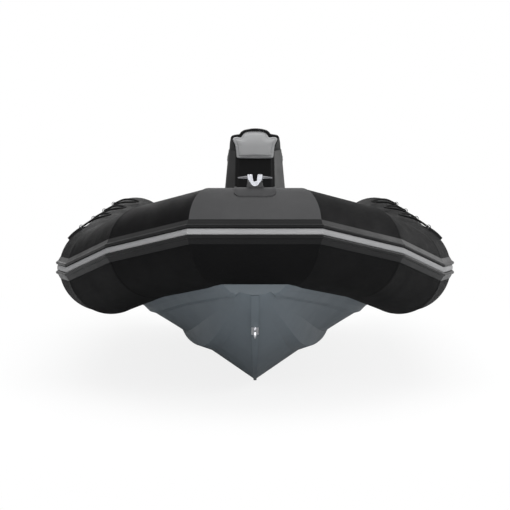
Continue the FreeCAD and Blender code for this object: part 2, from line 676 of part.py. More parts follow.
# CONSOLE
def rounded_loop(points, trim):
    """A closed outline through corners, each cut back by the trim and joined by a tangent arc."""
    edges = []
    count = len(points)
    for k in range(count):
        back_way = (points[k - 1] - points[k]).normalize()
        ahead = (points[(k + 1) % count] - points[k]).normalize()
        after = points[(k + 1) % count]
        start = points[k] + back_way * trim
        end = points[k] + ahead * trim
        bisector = (back_way + ahead).normalize()
        half_turn = math.acos(back_way.dot(bisector))
        reach = trim / math.cos(half_turn) - trim * math.tan(half_turn)
        edges.append(Part.Arc(start, points[k] + bisector * reach, end).toShape())
        edges.append(Part.makeLine(end, after - ahead * trim))
    return Part.Wire(edges)


loops = []
for letter in "abc":
    p = "console" + letter + "_"
    port = [Vector(number(p + x), number(p + y), number(p + "z")) for x, y in (
        ("front_half", "front_y"), ("side_half", "side_y"), ("side_half", "back_y"))]
    other = [Vector(-point.x, point.y, point.z) for point in reversed(port)]
    loops.append(rounded_loop(port + other, size("console_round")))
console_form = solid("console_form", Part.makeLoft(loops, True, True))


def facing_helm(shape, point):
    """Stand a shape made about +Z on a point, with +Z turned to the wheel's axis."""
    placed = shape.copy()
    placed.Placement = Placement(point, Rotation(Vector(0, 0, 1), wheel_axis))
    return placed


tilt = math.radians(size("wheel_tilt"))
wheel_axis = Vector(0, math.cos(tilt), math.sin(tilt))
wheel_centre = Vector(0, size("wheel_y"), size("wheel_z"))
helm = wheel_centre - wheel_axis * size("wheel_reach")
helm_block = Part.makeBox(1000, 1000, 400, Vector(-500, -500, 0))
dash_cut = solid("dash_cut", facing_helm(helm_block, helm))
node("console", cut("console_body", console_form, dash_cut))
dash = Part.makeBox(2 * size("dash_half"), size("dash_low") + size("dash_high"), size("dash_thickness"),
                    Vector(-size("dash_half"), -size("dash_low"), 0))
node("dash_panel", solid("dash_panel", facing_helm(dash, helm)))

cowl_half = [
    ("cowl_base_half", "consolec_z"), ("cowl_waist_half", "cowl_waist_z"),
    ("cowl_shoulder_half", "cowl_shoulder_z", "cowl_round"), ("cowl_ledge_half", "cowl_ledge_z"),
    ("crown_half", "crown_foot_z", "crown_round"), ("crown_flat_half", "crown_flat_z", "crown_radius")]
cowl = prism("cowl", "XZ_Plane", both_sides(cowl_half), "cowl_depth", "0 - cowl_front - cowl_depth")
doc.recompute()
cowl_back = solid("cowl_back", facing_helm(helm_block, Vector(0, size("cowl_back_y"), size("consolec_z"))))
node("console_cowl", cut("cowl_sloped", cowl, cowl_back))
panel_half = [
    ("panel_foot_half", "panel_base"),
    ("cowl_shoulder_half - cowl_rim", "cowl_shoulder_z - cowl_rim / 2", "cowl_round"),
    ("cowl_ledge_half - cowl_rim / 2", "cowl_ledge_z - cowl_rim"),
    ("crown_half - cowl_rim / 2", "crown_foot_z - cowl_rim", "crown_round"),
    ("crown_flat_half - cowl_rim / 3", "crown_flat_z - cowl_rim", "crown_radius")]
panel_form = prism("panel_form", "XZ_Plane", both_sides(panel_half), "cowl_front - panel_front - seat_gap",
                   "0 - cowl_front + seat_gap")
soften(panel_form, "panel_round", at_level("Y", size("panel_front")))
node("console_panel", cut("panel_seated", panel_form, console_form))

# STEERING WHEEL AND THROTTLE
rim = Part.makeTorus(size("wheel_radius"), size("wheel_rim_radius"))
hub_back = -size("wheel_hub_length") / 2
hub = Part.makeCylinder(size("wheel_hub_radius"), size("wheel_hub_length"), Vector(0, 0, hub_back))
spokes = []
for k in range(3):
    root_half = size("spoke_root_width") / 2
    tip_half = size("spoke_width") / 2
    reach = size("wheel_radius")
    arm = Part.Face(Part.makePolygon([
        Vector(0, -root_half, 0), Vector(reach, -tip_half, 0), Vector(reach, tip_half, 0), Vector(0, root_half, 0),
        Vector(0, -root_half, 0)])).extrude(Vector(0, 0, size("spoke_thickness")))
    arm.translate(Vector(0, 0, -size("spoke_thickness") / 2))
    arm.rotate(Vector(), Vector(0, 0, 1), size("spoke_start_angle") + 120 * k)
    spokes.append(arm)
node("steering_wheel", solid("steering_wheel", facing_helm(rim.fuse([hub] + spokes), wheel_centre)))
dash_face = size("dash_thickness") - size("wheel_reach")
shaft = Part.makeCylinder(size("shaft_radius"), hub_back - dash_face - size("seat_gap"), Vector(0, 0, dash_face))
bezel = Part.makeCone(size("bezel_radius"), size("bezel_top_radius"), size("bezel_height"), Vector(0, 0, dash_face))
node("steering_shaft", solid("steering_shaft", facing_helm(shaft.fuse(bezel), wheel_centre)))

# the throttle stands on the starboard side of the console
throttle_wall = "(consoleb_side_half + (consolea_side_half - consoleb_side_half) * (consoleb_z - throttle_z)" \
    " / (consoleb_z - consolea_z))"
throttle_face = "0 - " + throttle_wall + " - throttle_depth"
throttle = box("throttle_case", throttle_face, "throttle_y - throttle_length / 2",
               "throttle_z - throttle_height / 2", "throttle_depth + throttle_inset", "throttle_length",
               "throttle_height")
node("throttle_box", cut("throttle_seated", throttle, console_form))
port_way = Vector(-1, 0, 0)
lever_shape = Part.makeCylinder(size("lever_boss_radius"), size("lever_thickness") + 4, Vector(), port_way)
arm_shape = Part.makeBox(size("lever_thickness"), size("lever_width"), size("lever_length"),
                         Vector(-size("lever_thickness") - 4, -size("lever_width") / 2, 0))
grip_shape = Part.makeCylinder(size("lever_grip_radius"), size("lever_grip_length"),
                               Vector(size("lever_grip_length") / 2 - size("lever_thickness"), 0,
                                      size("lever_length")), port_way)
lever_shape = lever_shape.fuse([arm_shape, grip_shape])
lever_shape.rotate(Vector(), Vector(1, 0, 0), size("lever_lean"))
lever_shape.translate(Vector(number(throttle_face), size("throttle_y"), size("throttle_z")))
node("throttle_lever", solid("throttle_lever", lever_shape))

# SEAT
seat_shell = body_of("seat_shell")
lower = outline(seat_shell, "seat_foot", "XY_Plane", rectangle(
    "seat_half - seat_taper", "seat_front + seat_taper", "seat_front + seat_length - seat_taper"), "deck_height")
upper = outline(seat_shell, "seat_rim", "XY_Plane", rectangle(
    "seat_half", "seat_front", "seat_front + seat_length"), "seat_base_top")
loft = seat_shell.newObject("PartDesign::AdditiveLoft", "seat_loft")
loft.Profile = lower
loft.Sections = [upper]
doc.recompute()
seat_room = prism("seat_room", "XY_Plane", rectangle(
    "seat_half - seat_taper - seat_wall", "seat_front + seat_taper + seat_wall",
    "seat_front + seat_length - seat_taper - seat_wall"), "seat_base_top", "deck_height + seat_wall")
doc.recompute()
node("seat_base", cut("seat_box", seat_shell, seat_room))
seat_lid_plate = box("seat_lid_plate", "0 - seat_half - seat_lid_lip", "seat_front - seat_lid_lip",
                     "seat_base_top + lid_gap", "2 * (seat_half + seat_lid_lip)", "seat_length + 2 * seat_lid_lip",
                     "seat_lid_thickness")
seat_hinge_y = "seat_front - seat_lid_lip - 1.6 * hinge_radius"
seat_hinge_z = "seat_base_top + hinge_radius + 1.5"
fixed, moving = hinge_pair("seat_hinge", "seat_hinge_x", seat_hinge_y, seat_hinge_z, "seat_base_top - 22")
hinge_ledges = [box("seat_hinge_ledge%d" % k, middle + " - hinge_length / 2", seat_hinge_y + " - hinge_radius",
                    "seat_base_top - 22", "hinge_length", "seat_front - (" + seat_hinge_y + ") + hinge_radius + 4",
                    "12") for k, middle in enumerate(("seat_hinge_x", "0 - seat_hinge_x"))]
node("seat_hinges", cut("seat_hinges_seated", fuse("seat_hinge_parts", fixed + hinge_ledges), seat_shell))
node("seat_lid", fuse("seat_lid_parts", [seat_lid_plate] + moving))
cushion_base = "seat_base_top + lid_gap + seat_lid_thickness"
cushion = prism("cushion_form", "XY_Plane", rectangle("seat_half", "seat_front", "seat_front + seat_length"),
                "cushion_thickness", cushion_base)
soften(cushion, "cushion_corner", along(Vector(0, 0, 1)))
soften(cushion, "cushion_round", at_level("Z", number(cushion_base + " + cushion_thickness")))
node("seat_cushion", cushion)
back_y = "seat_front + seat_length + backrest_gap"
back_z = "seat_base_top + backrest_rise"
back = prism("backrest_form", "XZ_Plane", rectangle("backrest_half", back_z, back_z + " + backrest_height"),
             "backrest_thickness", "0 - (" + back_y + ") - backrest_thickness")
soften(back, "cushion_corner", along(Vector(0, 1, 0)))
soften(back, "cushion_round", at_level("Y", number(back_y)))
node("backrest_pad", back)

tube_y = number(back_y + " + backrest_thickness + backrest_tube + seat_gap")
hoop_half = size("backrest_tube_half")
hoop_low = size("deck_height")
hoop_top = number(back_z + " + backrest_height - backrest_bend")


def rounded_path(points, trim_to=0.45, bend=None):
    """Straight runs joined by tangent arcs: as large as the runs allow, or with a set length of trim."""
    edges = []
    last = points[0]
    for k in range(1, len(points) - 1):
        back_way = points[k - 1] - points[k]
        ahead = points[k + 1] - points[k]
        trim = bend or trim_to * min(back_way.Length, ahead.Length)
        start = points[k] + back_way.normalize() * trim
        end = points[k] + ahead.normalize() * trim
        bisector = (back_way + ahead).normalize()
        half_turn = math.acos(max(-1.0, min(1.0, back_way.dot(bisector))))
        sweep_radius = trim * math.tan(half_turn)
        centre = points[k] + bisector * (trim / math.cos(half_turn))
        middle = centre - bisector * sweep_radius
        edges.append(Part.LineSegment(last, start).toShape())
        edges.append(Part.Arc(start, middle, end).toShape())
        last = end
    edges.append(Part.LineSegment(last, points[-1]).toShape())
    return Part.Wire(edges)


def swept(path, rod):
    """A round rod along a path."""
    first = path.Edges[0]
    ring = Part.makeCircle(rod, first.Vertexes[0].Point, first.tangentAt(first.FirstParameter))
    return path.makePipeShell([Part.Wire(ring)], True, False)


hoop = swept(rounded_path([
    Vector(-hoop_half, tube_y, hoop_low), Vector(-hoop_half, tube_y, hoop_top), Vector(hoop_half, tube_y, hoop_top),
    Vector(hoop_half, tube_y, hoop_low)], bend=size("backrest_bend")), size("backrest_tube"))
feet = [Part.makeCylinder(size("post_flange"), size("post_flange_height"), Vector(end * hoop_half, tube_y, hoop_low))
        for end in (-1, 1)]
node("backrest_posts", solid("backrest_posts", hoop.fuse(feet)))

# FITTINGS ON THE TUBES
def on_tube(i, station, angle, lift=0.0):
    """Frame on length i of the tube: X along it, Z away from its axis at an angle above outboard."""
    forward = way(i)
    outboard = forward.cross(Vector(0, 0, 1)).normalize()
    upward = outboard.cross(forward)
    turn_by = math.radians(angle)
    outward = outboard * math.cos(turn_by) + upward * math.sin(turn_by)
    across = outward.cross(forward)
    origin = RIGHT[i] + forward * station + outward * (radius + lift)
    grid = FreeCAD.Matrix(forward.x, across.x, outward.x, origin.x, forward.y, across.y, outward.y, origin.y,
                          forward.z, across.z, outward.z, origin.z, 0, 0, 0, 1)
    return Placement(grid)


def set_on_tube(shape, i, station, angle):
    """Stand a shape on the skin, with its foot trimmed to the tube's curve."""
    placed = shape.copy()
    placed.Placement = on_tube(i, station, angle)
    return placed.cut(tube_length(i, skin))


def curved_patch(i, station, angle, long, wide, thick, corner):
    """A sheet of even thickness bent over the tube, with rounded corners."""
    block = Part.makeBox(long, wide, 120, Vector(-long / 2, -wide / 2, -60))
    block = block.makeFillet(corner, [edge for edge in block.Edges if along(Vector(0, 0, 1))(edge)])
    block.Placement = on_tube(i, station, angle)
    return tube_length(i, skin + thick).cut(tube_length(i, skin)).common(block)


def flat_loop(bar, wide, gap_half, height):
    """A staple of flat bar across the lifeline, arched over it."""
    def arch(half):
        return [Part.makeLine(Vector(0, -half, 0), Vector(0, -half, height - gap_half)),
                Part.Arc(Vector(0, -half, height - gap_half), Vector(0, 0, height - gap_half + half),
                         Vector(0, half, height - gap_half)).toShape(),
                Part.makeLine(Vector(0, half, height - gap_half), Vector(0, half, 0))]
    outer = arch(gap_half + bar / 2)
    inner = arch(gap_half - bar / 2)
    feet = [Part.makeLine(Vector(0, sign * (gap_half - bar / 2), 0), Vector(0, sign * (gap_half + bar / 2), 0))
            for sign in (-1, 1)]
    face = Part.Face(Part.Wire(Part.sortEdges(outer + inner + feet)[0]))
    face.translate(Vector(-wide / 2, 0, 0))
    return face.extrude(Vector(wide, 0, 0))


def loop_shape(rod, gap_half, height, foot):
    """A U of round rod standing on Z, with its legs run down to the foot."""
    legs = [Part.LineSegment(Vector(0, -gap_half, foot), Vector(0, -gap_half, height - gap_half)).toShape(),
            Part.Arc(Vector(0, -gap_half, height - gap_half), Vector(0, 0, height),
                     Vector(0, gap_half, height - gap_half)).toShape(),
            Part.LineSegment(Vector(0, gap_half, height - gap_half), Vector(0, gap_half, foot)).toShape()]
    return swept(Part.Wire(legs), rod)


side_run = (RIGHT[5] - RIGHT[4]).Length
stops = []
at = size("holder_first")
while at < side_run - size("patch_length"):
    stops.append(at)
    at += size("holder_pitch")
rope_angle = size("rope_angle")
rubber = size("patch_rubber")
holders = []
loops = []
for station in stops:
    sheet_of = (size("patch_length"), size("patch_width"), rubber, size("patch_corner"))
    holders.append(curved_patch(4, max(station, sheet_of[0] / 2 + 1), rope_angle, *sheet_of))
    loop = flat_loop(size("loop_bar"), size("loop_width"), size("loop_half"), size("loop_height"))
    loop.Placement = on_tube(4, station, rope_angle)
    loops.append(loop.cut(tube_length(4, skin + rubber)))
tail_end = size("tail_station") + size("tail_length") / 2
tail = curved_patch(4, size("tail_station"), size("tail_angle"), size("tail_length"), size("tail_width"),
                    size("tail_rise"), size("tail_corner"))
holders[0] = holders[0].fuse(tail)
holders_port = node("rope_holders_port", solid("rope_holders_port", Part.makeCompound(holders)))
node("rope_holders_starboard", mirrored("rope_holders_starboard", holders_port))
loops_port = node("rope_loops_port", solid("rope_loops_port", Part.makeCompound(loops)))
node("rope_loops_starboard", mirrored("rope_loops_starboard", loops_port))


def rope_points():
    """The lifeline's corners: straight through each loop, and swung over the tube's crown between them."""
    low = rubber + size("glue_gap") + size("rope_radius")
    arch = size("rope_arch")
    points = []
    for k, station in enumerate(stops):
        for step in (-20, 30):
            points.append(on_tube(4, station + step, rope_angle, low).Base)
        if k + 1 < len(stops):
            swing = size("rope_swing") + size("rope_swing_step") * k
            run = stops[k + 1] - station
            for part, share in ((0.2, 0.46), (0.4, 0.97), (0.6, 0.97), (0.8, 0.46)):
                points.append(on_tube(4, station + run * part, rope_angle + swing * share, arch).Base)
    points[0] = on_tube(4, tail_end + size("glue_gap"), rope_angle, low).Base
    return points


rope_port = node("lifeline_port", solid("lifeline_port", swept(rounded_path(rope_points()), size("rope_radius"))))
node("lifeline_starboard", mirrored("lifeline_starboard", rope_port))


def handle_grip():
    """A webbing strap that arches between two patches."""
    span = size("handle_span")
    wide = size("handle_width")
    rise = size("handle_rise")
    strap = size("handle_strap")
    outer = Part.Arc(Vector(-span / 2, 0, -3), Vector(0, 0, rise), Vector(span / 2, 0, -3)).toShape()
    inner = Part.Arc(Vector(span / 2 - 2 * strap, 0, -3), Vector(0, 0, rise - strap),
                     Vector(2 * strap - span / 2, 0, -3)).toShape()
    foot_a = Part.makeLine(Vector(span / 2, 0, -3), Vector(span / 2 - 2 * strap, 0, -3))
    foot_b = Part.makeLine(Vector(2 * strap - span / 2, 0, -3), Vector(-span / 2, 0, -3))
    grip = Part.Face(Part.Wire([outer, foot_a, inner, foot_b]))
    grip.translate(Vector(0, -wide / 2, 0))
    return grip.extrude(Vector(0, wide, 0))


handles = []
for k in range(2):
    station = size("handle_station") + k * size("handle_pitch")
    handle = set_on_tube(handle_grip(), 4, station, size("handle_angle"))
    for end in (-1, 1):
        handle = handle.fuse(curved_patch(4, station + end * size("handle_span") / 2, size("handle_angle"),
                                          size("handle_pad"), size("handle_width") + 2 * size("handle_margin"),
                                          rubber, size("patch_corner")))
    handles.append(handle)
handles_port = node("grab_handles_port", solid("grab_handles_port", Part.makeCompound(handles)))
node("grab_handles_starboard", mirrored("grab_handles_starboard", handles_port))


def valve_shape():
    disc = Part.makeCylinder(size("valve_radius"), size("valve_height"), Vector(0, 0, 2 - size("valve_height")))
    cap = Part.makeCylinder(size("valve_radius") * 0.72, size("valve_height"), Vector(0, 0, 0))
    return disc.fuse(cap)


valves = []
for i, station in ((2, size("valve_shoulder")), (4, size("valve_side"))):
    valve = set_on_tube(valve_shape(), i, station, size("valve_angle"))
    valves += [valve, valve.mirror(*mirror_x)]
node("inflation_valves", solid("inflation_valves", Part.makeCompound(valves)))

# BOW FITTINGS
nose_axis = Vector(0, size("nose_station"), size("nose_height"))


def nose_shell(half, thickness):
    """A sleeve of the given thickness round the nose tube."""
    start = nose_axis - Vector(half, 0, 0)
    outer = Part.makeCylinder(skin + thickness, 2 * half, start, Vector(1, 0, 0))
    return outer.cut(Part.makeCylinder(skin, 2 * half, start, Vector(1, 0, 0)))


def nose_fan(half, from_angle, to_angle):
    """A wedge about the nose tube's axis, between two angles measured from the top towards the bow."""
    start = nose_axis - Vector(half, 0, 0)
    corners = [start]
    steps = 12
    for k in range(steps + 1):
        turn_by = math.radians(from_angle + (to_angle - from_angle) * k / steps)
        corners.append(start + Vector(0, -math.sin(turn_by), math.cos(turn_by)) * 400)
    return Part.Face(Part.makePolygon(corners + [start])).extrude(Vector(2 * half, 0, 0))


def pad_plan(inset):
    """The bow pad's rounded outline, carried straight up through the top of the nose tube."""
    half = size("bow_pad_half") - inset
    reach = size("bow_pad_reach") - inset
    block = Part.makeBox(2 * half, 2 * reach, 400, nose_axis - Vector(half, reach, 0))
    round_by = size("bow_pad_corner") - inset
    return block.makeFillet(round_by, [edge for edge in block.Edges if along(Vector(0, 0, 1))(edge)])


pad_thick = size("bow_pad_thickness")
sheet_half = size("nose_half") + 200
pad_sheet = nose_shell(sheet_half, pad_thick).common(pad_plan(0))
pad_rim = nose_shell(sheet_half, pad_thick + size("bow_pad_rim_rise")).common(pad_plan(0))
pad_rim = pad_rim.cut(pad_plan(size("bow_pad_rim")))
node("bow_pad", solid("bow_pad", pad_sheet.fuse(pad_rim)))
patch = nose_shell(sheet_half, size("patch_thickness"))
strake_edge = 90 - size("strake_tilt") - math.degrees(math.atan2(half, lip))
patch = patch.common(nose_fan(sheet_half, -size("patch_back_angle"), strake_edge - size("patch_edge_angle")))
trim = tube_length(0, radius + 20)
patch = patch.common(trim.fuse(trim.mirror(*mirror_x)))
node("bow_patch", solid("bow_patch", patch.cut(pad_plan(-size("pad_room_gap")))))

crown = "nose_height + tube_radius + glue_gap + bow_pad_thickness"
pad_outer = cylinder("pad_outer", "tube_radius + glue_gap + bow_pad_thickness", "2 * bow_pad_half",
                     "0 - bow_pad_half", "nose_station", "nose_height", Vector(1, 0, 0))
fairlead_half = [
    ("fairlead_toe_half", crown + " + fairlead_toe"), ("fairlead_waist_half", crown + " + fairlead_waist"),
    ("fairlead_top_half", crown + " + fairlead_height"), ("slot_top_half", crown + " + fairlead_height"),
    ("slot_low_half", crown + " + slot_low", "-slot_floor_radius")]
fairlead_corners = both_sides(fairlead_half)
fairlead_corners[-1] = fairlead_corners[-1] + ("toe_radius",)
fairlead_u = prism("fairlead_u", "XZ_Plane", fairlead_corners, "fairlead_depth",
                   "0 - nose_station - fairlead_depth / 2")
doc.recompute()
horns = []
for tag, sign in (("port", 1), ("starboard", -1)):
    horn = doc.addObject("Part::Cone", "horn_" + tag)
    bind(horn, "Radius1", "horn_radius")
    bind(horn, "Radius2", "horn_tip")
    bind(horn, "Height", "horn_length")
    horn.Placement = Placement(Vector(), Rotation(Vector(0, 0, 1), Vector(sign, 0, 0)))
    start = "fairlead_waist_half - 1" if sign > 0 else "1 - fairlead_waist_half"
    place(horn, start, "nose_station", crown + " + horn_height")
    horns.append(horn)
node("bow_fairlead", fuse("fairlead_parts", [fairlead_u] + horns))
base_form = prism("fairlead_base_form", "XZ_Plane", both_sides([
    ("fairlead_base_half", crown + " - 8"), ("fairlead_base_half", crown),
    ("fairlead_neck_half", crown + " + horn_height - horn_radius - horn_room")]), "fairlead_base_depth",
    "0 - nose_station - fairlead_base_depth / 2")
u_room = prism("u_room", "XZ_Plane", both_sides([
    ("fairlead_toe_half", crown + " + fairlead_toe"), ("fairlead_waist_half", crown + " + fairlead_waist"),
    ("fairlead_top_half", crown + " + fairlead_height")])[:-1] + [
        ("0 - fairlead_toe_half", crown + " + fairlead_toe", "toe_radius")],
    "fairlead_depth", "0 - nose_station - fairlead_depth / 2")
doc.recompute()
node("fairlead_base", cut("fairlead_base_trim", cut("fairlead_base_seat", base_form, pad_outer), u_room))


def u_bolt(plate_half, plate_long):
    """A U of round rod on a plate; the rod's legs pass through the plate."""
    ring = loop_shape(size("eye_rod"), size("eye_half"), size("eye_reach"), -12)
    plate = Part.makeBox(2 * plate_half, 2 * plate_long, size("eye_plate"), Vector(-plate_half, -plate_long, 0))
    return ring.fuse(plate)


def stem_at(height):
    """Point and outward direction on the stem at a height."""
    curve = keel_curve()
    low = curve.FirstParameter
    high = curve.LastParameter
    for k in range(60):
        middle = (low + high) / 2
        if curve.value(middle).z > height:
            low = middle
        else:
            high = middle
    return keel_frame(curve, low)


stem_point, stem_out = stem_at(size("eye_height"))
eye = u_bolt(size("eye_plate_half"), size("eye_plate_long"))
turn_eye = Rotation(Vector(1, 0, 0), stem_out.cross(Vector(1, 0, 0)) * -1, stem_out, "ZXY")
eye.Placement = Placement(stem_point + stem_out * (size("strip_depth") + size("glue_gap")), turn_eye)
node("bow_eye", solid("bow_eye", eye.cut(keel_strip()).cut(hull_form.Shape)))

eyes = []
stern_face = size("transom_station") + size("glue_gap")
for sign in (1, -1):
    ring = u_bolt(size("eye_plate_half"), size("eye_plate_long"))
    ring.Placement = Placement(Vector(sign * size("stern_eye_x"), stern_face, size("stern_eye_z")),
                               Rotation(Vector(1, 0, 0), Vector(0, 0, -1), Vector(0, 1, 0), "ZXY"))
    eyes.append(ring.common(Part.makeBox(3000, 400, 3000, Vector(-1500, stern_face, -1500))))
node("stern_eyes", solid("stern_eyes", Part.makeCompound(eyes)))
astern = Vector(0, 1, 0)
drain = fuse("drain_parts", [
    cylinder("drain_disc", "drain_radius", "drain_flange", "0", "transom_station + glue_gap", "drain_height", astern),
    cylinder("drain_stopper", "drain_radius / 2", "drain_knob", "0", "transom_station + glue_gap", "drain_height",
             astern)])
node("drain_plug", drain)

doc.recompute()
for item in doc.Objects:
    trouble = [s for s in item.State if s in ("Invalid", "Error")]
    if trouble:
        raise RuntimeError("%s did not build: %s" % (item.Name, item.State))
os.makedirs("parts", exist_ok=True)
for item in nodes:
    if item.Shape.isNull() or not item.Shape.isValid():
        raise RuntimeError("%s has no sound shape" % item.Label)
    item.Shape.exportStep("parts/%s.step" % item.Label)
print(len(nodes), "nodes")
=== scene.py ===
import json
import math

import bmesh
import bpy
from mathutils import Matrix, Vector
from mathutils.bvhtree import BVHTree


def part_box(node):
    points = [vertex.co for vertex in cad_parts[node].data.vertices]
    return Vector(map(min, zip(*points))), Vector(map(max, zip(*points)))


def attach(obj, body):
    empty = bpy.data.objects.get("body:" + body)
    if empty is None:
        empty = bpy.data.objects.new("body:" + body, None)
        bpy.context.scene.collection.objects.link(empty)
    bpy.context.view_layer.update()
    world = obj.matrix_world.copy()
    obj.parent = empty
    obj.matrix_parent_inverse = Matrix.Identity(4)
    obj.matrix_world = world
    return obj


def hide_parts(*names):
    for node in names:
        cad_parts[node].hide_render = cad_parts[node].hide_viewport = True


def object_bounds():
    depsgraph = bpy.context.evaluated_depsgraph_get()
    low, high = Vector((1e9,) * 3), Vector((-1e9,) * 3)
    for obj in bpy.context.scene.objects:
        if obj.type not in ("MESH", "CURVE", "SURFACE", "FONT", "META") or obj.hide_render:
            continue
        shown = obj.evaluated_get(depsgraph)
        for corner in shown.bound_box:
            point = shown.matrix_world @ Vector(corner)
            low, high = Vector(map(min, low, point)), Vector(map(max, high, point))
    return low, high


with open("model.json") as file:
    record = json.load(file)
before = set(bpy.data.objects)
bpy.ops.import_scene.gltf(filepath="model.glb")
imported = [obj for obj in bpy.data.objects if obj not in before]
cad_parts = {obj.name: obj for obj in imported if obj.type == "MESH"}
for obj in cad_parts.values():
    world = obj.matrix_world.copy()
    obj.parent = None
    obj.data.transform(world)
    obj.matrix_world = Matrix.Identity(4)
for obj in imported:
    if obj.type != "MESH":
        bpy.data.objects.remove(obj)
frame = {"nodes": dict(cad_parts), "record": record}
cad_box = [list(corner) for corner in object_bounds()]
nodes = frame["nodes"]

# Camera, light and floor
CAMERA_DISTANCE = 9.884
CAMERA_HEIGHT = 1.180
CAMERA_PITCH = -4.61
FOCAL_PIXELS = 1900.0
FRAME_PIXELS = 510.0
FLOOR_Z = cad_box[0][2]
FLOOR_HALF = 60.0
FLOOR_FADE = (0.6, 3.6)
FLOOR_GLOW = (0.84, 1.0)
WORLD_TINT = (0.96, 0.98, 1.0, 1.0)
WORLD_STRENGTH = 0.38
UP = Vector((0.0, 0.0, 1.0))
DOWN = Vector((0.0, 0.0, -1.0))
AFT = Vector((0.0, 1.0, 0.0))
FORWARD = Vector((0.0, -1.0, 0.0))
ACROSS = Vector((1.0, 0.0, 0.0))


def add_object(name, data):
    thing = bpy.data.objects.new(name, data)
    bpy.context.scene.collection.objects.link(thing)
    return thing


def add_camera():
    data = bpy.data.cameras.new("camera")
    data.sensor_width = 36.0
    data.lens = 36.0 * FOCAL_PIXELS / FRAME_PIXELS
    data.clip_end = 200.0
    camera = add_object("camera", data)
    camera.location = (0.0, -CAMERA_DISTANCE, CAMERA_HEIGHT)
    camera.rotation_euler = (math.radians(90.0 + CAMERA_PITCH), 0.0, 0.0)
    bpy.context.scene.camera = camera


def add_area_light(name, place, aim, size, power):
    """A soft lamp that the camera doesn't see, with its size in metres and its power in watts."""
    data = bpy.data.lights.new(name, "AREA")
    data.shape = "RECTANGLE"
    data.size, data.size_y = size
    data.energy = power
    light = add_object(name, data)
    light.location = place
    light.rotation_euler = (Vector(aim) - Vector(place)).to_track_quat("-Z", "Y").to_euler()
    light.visible_camera = False


def maths(tree, operation, first, second):
    """A Math node whose two inputs are sockets or numbers."""
    node = tree.nodes.new("ShaderNodeMath")
    node.operation = operation
    for socket, value in zip(node.inputs, (first, second)):
        if isinstance(value, (int, float)):
            socket.default_value = value
        else:
            tree.links.new(value, socket)
    return node.outputs[0]


def add_world():
    """White for the camera, reflections and glass, and a weaker cool light for the rest."""
    world = bpy.data.worlds.new("studio")
    bpy.context.scene.world = world
    world.use_nodes = True
    tree = world.node_tree
    tree.nodes.clear()
    out = tree.nodes.new("ShaderNodeOutputWorld")
    path = tree.nodes.new("ShaderNodeLightPath")
    seen = tree.nodes.new("ShaderNodeBackground")
    seen.inputs["Color"].default_value = (1.0, 1.0, 1.0, 1.0)
    lit = tree.nodes.new("ShaderNodeBackground")
    lit.inputs["Color"].default_value = WORLD_TINT
    lit.inputs["Strength"].default_value = WORLD_STRENGTH
    shown = maths(tree, "MAXIMUM", path.outputs["Is Camera Ray"], path.outputs["Is Glossy Ray"])
    shown = maths(tree, "MAXIMUM", shown, path.outputs["Is Transmission Ray"])
    mix = tree.nodes.new("ShaderNodeMixShader")
    tree.links.new(shown, mix.inputs["Fac"])
    tree.links.new(lit.outputs[0], mix.inputs[1])
    tree.links.new(seen.outputs[0], mix.inputs[2])
    tree.links.new(mix.outputs[0], out.inputs["Surface"])


def add_floor():
    """A pale floor that keeps the boat's shadow and fades into the white background."""
    mesh = bpy.data.meshes.new("floor")
    corners = [(x * FLOOR_HALF, y * FLOOR_HALF, FLOOR_Z) for x, y in ((-1, -1), (1, -1), (1, 1), (-1, 1))]
    mesh.from_pydata(corners, [], [(0, 1, 2, 3)])
    floor = add_object("floor", mesh)
    surface = bpy.data.materials.new("floor_paint")
    surface.use_nodes = True
    tree = surface.node_tree
    shader = tree.nodes["Principled BSDF"]
    shader.inputs["Base Color"].default_value = (0.88, 0.88, 0.88, 1.0)
    shader.inputs["Roughness"].default_value = 0.9
    path = tree.nodes.new("ShaderNodeLightPath")
    glow = tree.nodes.new("ShaderNodeEmission")
    place = tree.nodes.new("ShaderNodeTexCoord")
    reach = tree.nodes.new("ShaderNodeVectorMath")
    reach.operation = "LENGTH"
    tree.links.new(place.outputs["Object"], reach.inputs[0])
    fade = tree.nodes.new("ShaderNodeMapRange")
    fade.inputs["From Min"].default_value, fade.inputs["From Max"].default_value = FLOOR_FADE
    fade.inputs["To Min"].default_value, fade.inputs["To Max"].default_value = FLOOR_GLOW
    fade.interpolation_type = "SMOOTHSTEP"
    tree.links.new(reach.outputs["Value"], fade.inputs["Value"])
    share = maths(tree, "MULTIPLY", fade.outputs["Result"], path.outputs["Is Camera Ray"])
    mix = tree.nodes.new("ShaderNodeMixShader")
    tree.links.new(share, mix.inputs["Fac"])
    tree.links.new(shader.outputs[0], mix.inputs[1])
    tree.links.new(glow.outputs[0], mix.inputs[2])
    tree.links.new(mix.outputs[0], tree.nodes["Material Output"].inputs["Surface"])
    mesh.materials.append(surface)


# Materials, with pitches and distances in metres and turns in radians
BLACK = (0.0, 0.0, 0.0)
WHITE = (1.0, 1.0, 1.0)
WEAVE_PITCH, WEAVE_TURN = 0.0016, 0.78
LOZENGE_PITCH, LOZENGE_TURN = 0.016, 0.62
BRAID_PITCH, BRAID_TURN = 0.0035, 0.9
LEVEL_ENOUGH = 0.98
HORN_START = (0.30, 0.33)


def new_material(name, base, roughness, metallic=0.0, coat=0.0, specular=0.5):
    surface = bpy.data.materials.new(name)
    surface.use_nodes = True
    shader = surface.node_tree.nodes["Principled BSDF"]
    shader.inputs["Base Color"].default_value = (*base, 1.0)
    shader.inputs["Roughness"].default_value = roughness
    shader.inputs["Metallic"].default_value = metallic
    shader.inputs["Coat Weight"].default_value = coat
    shader.inputs["Coat Roughness"].default_value = 0.1
    shader.inputs["Specular IOR Level"].default_value = specular
    return surface, surface.node_tree, shader


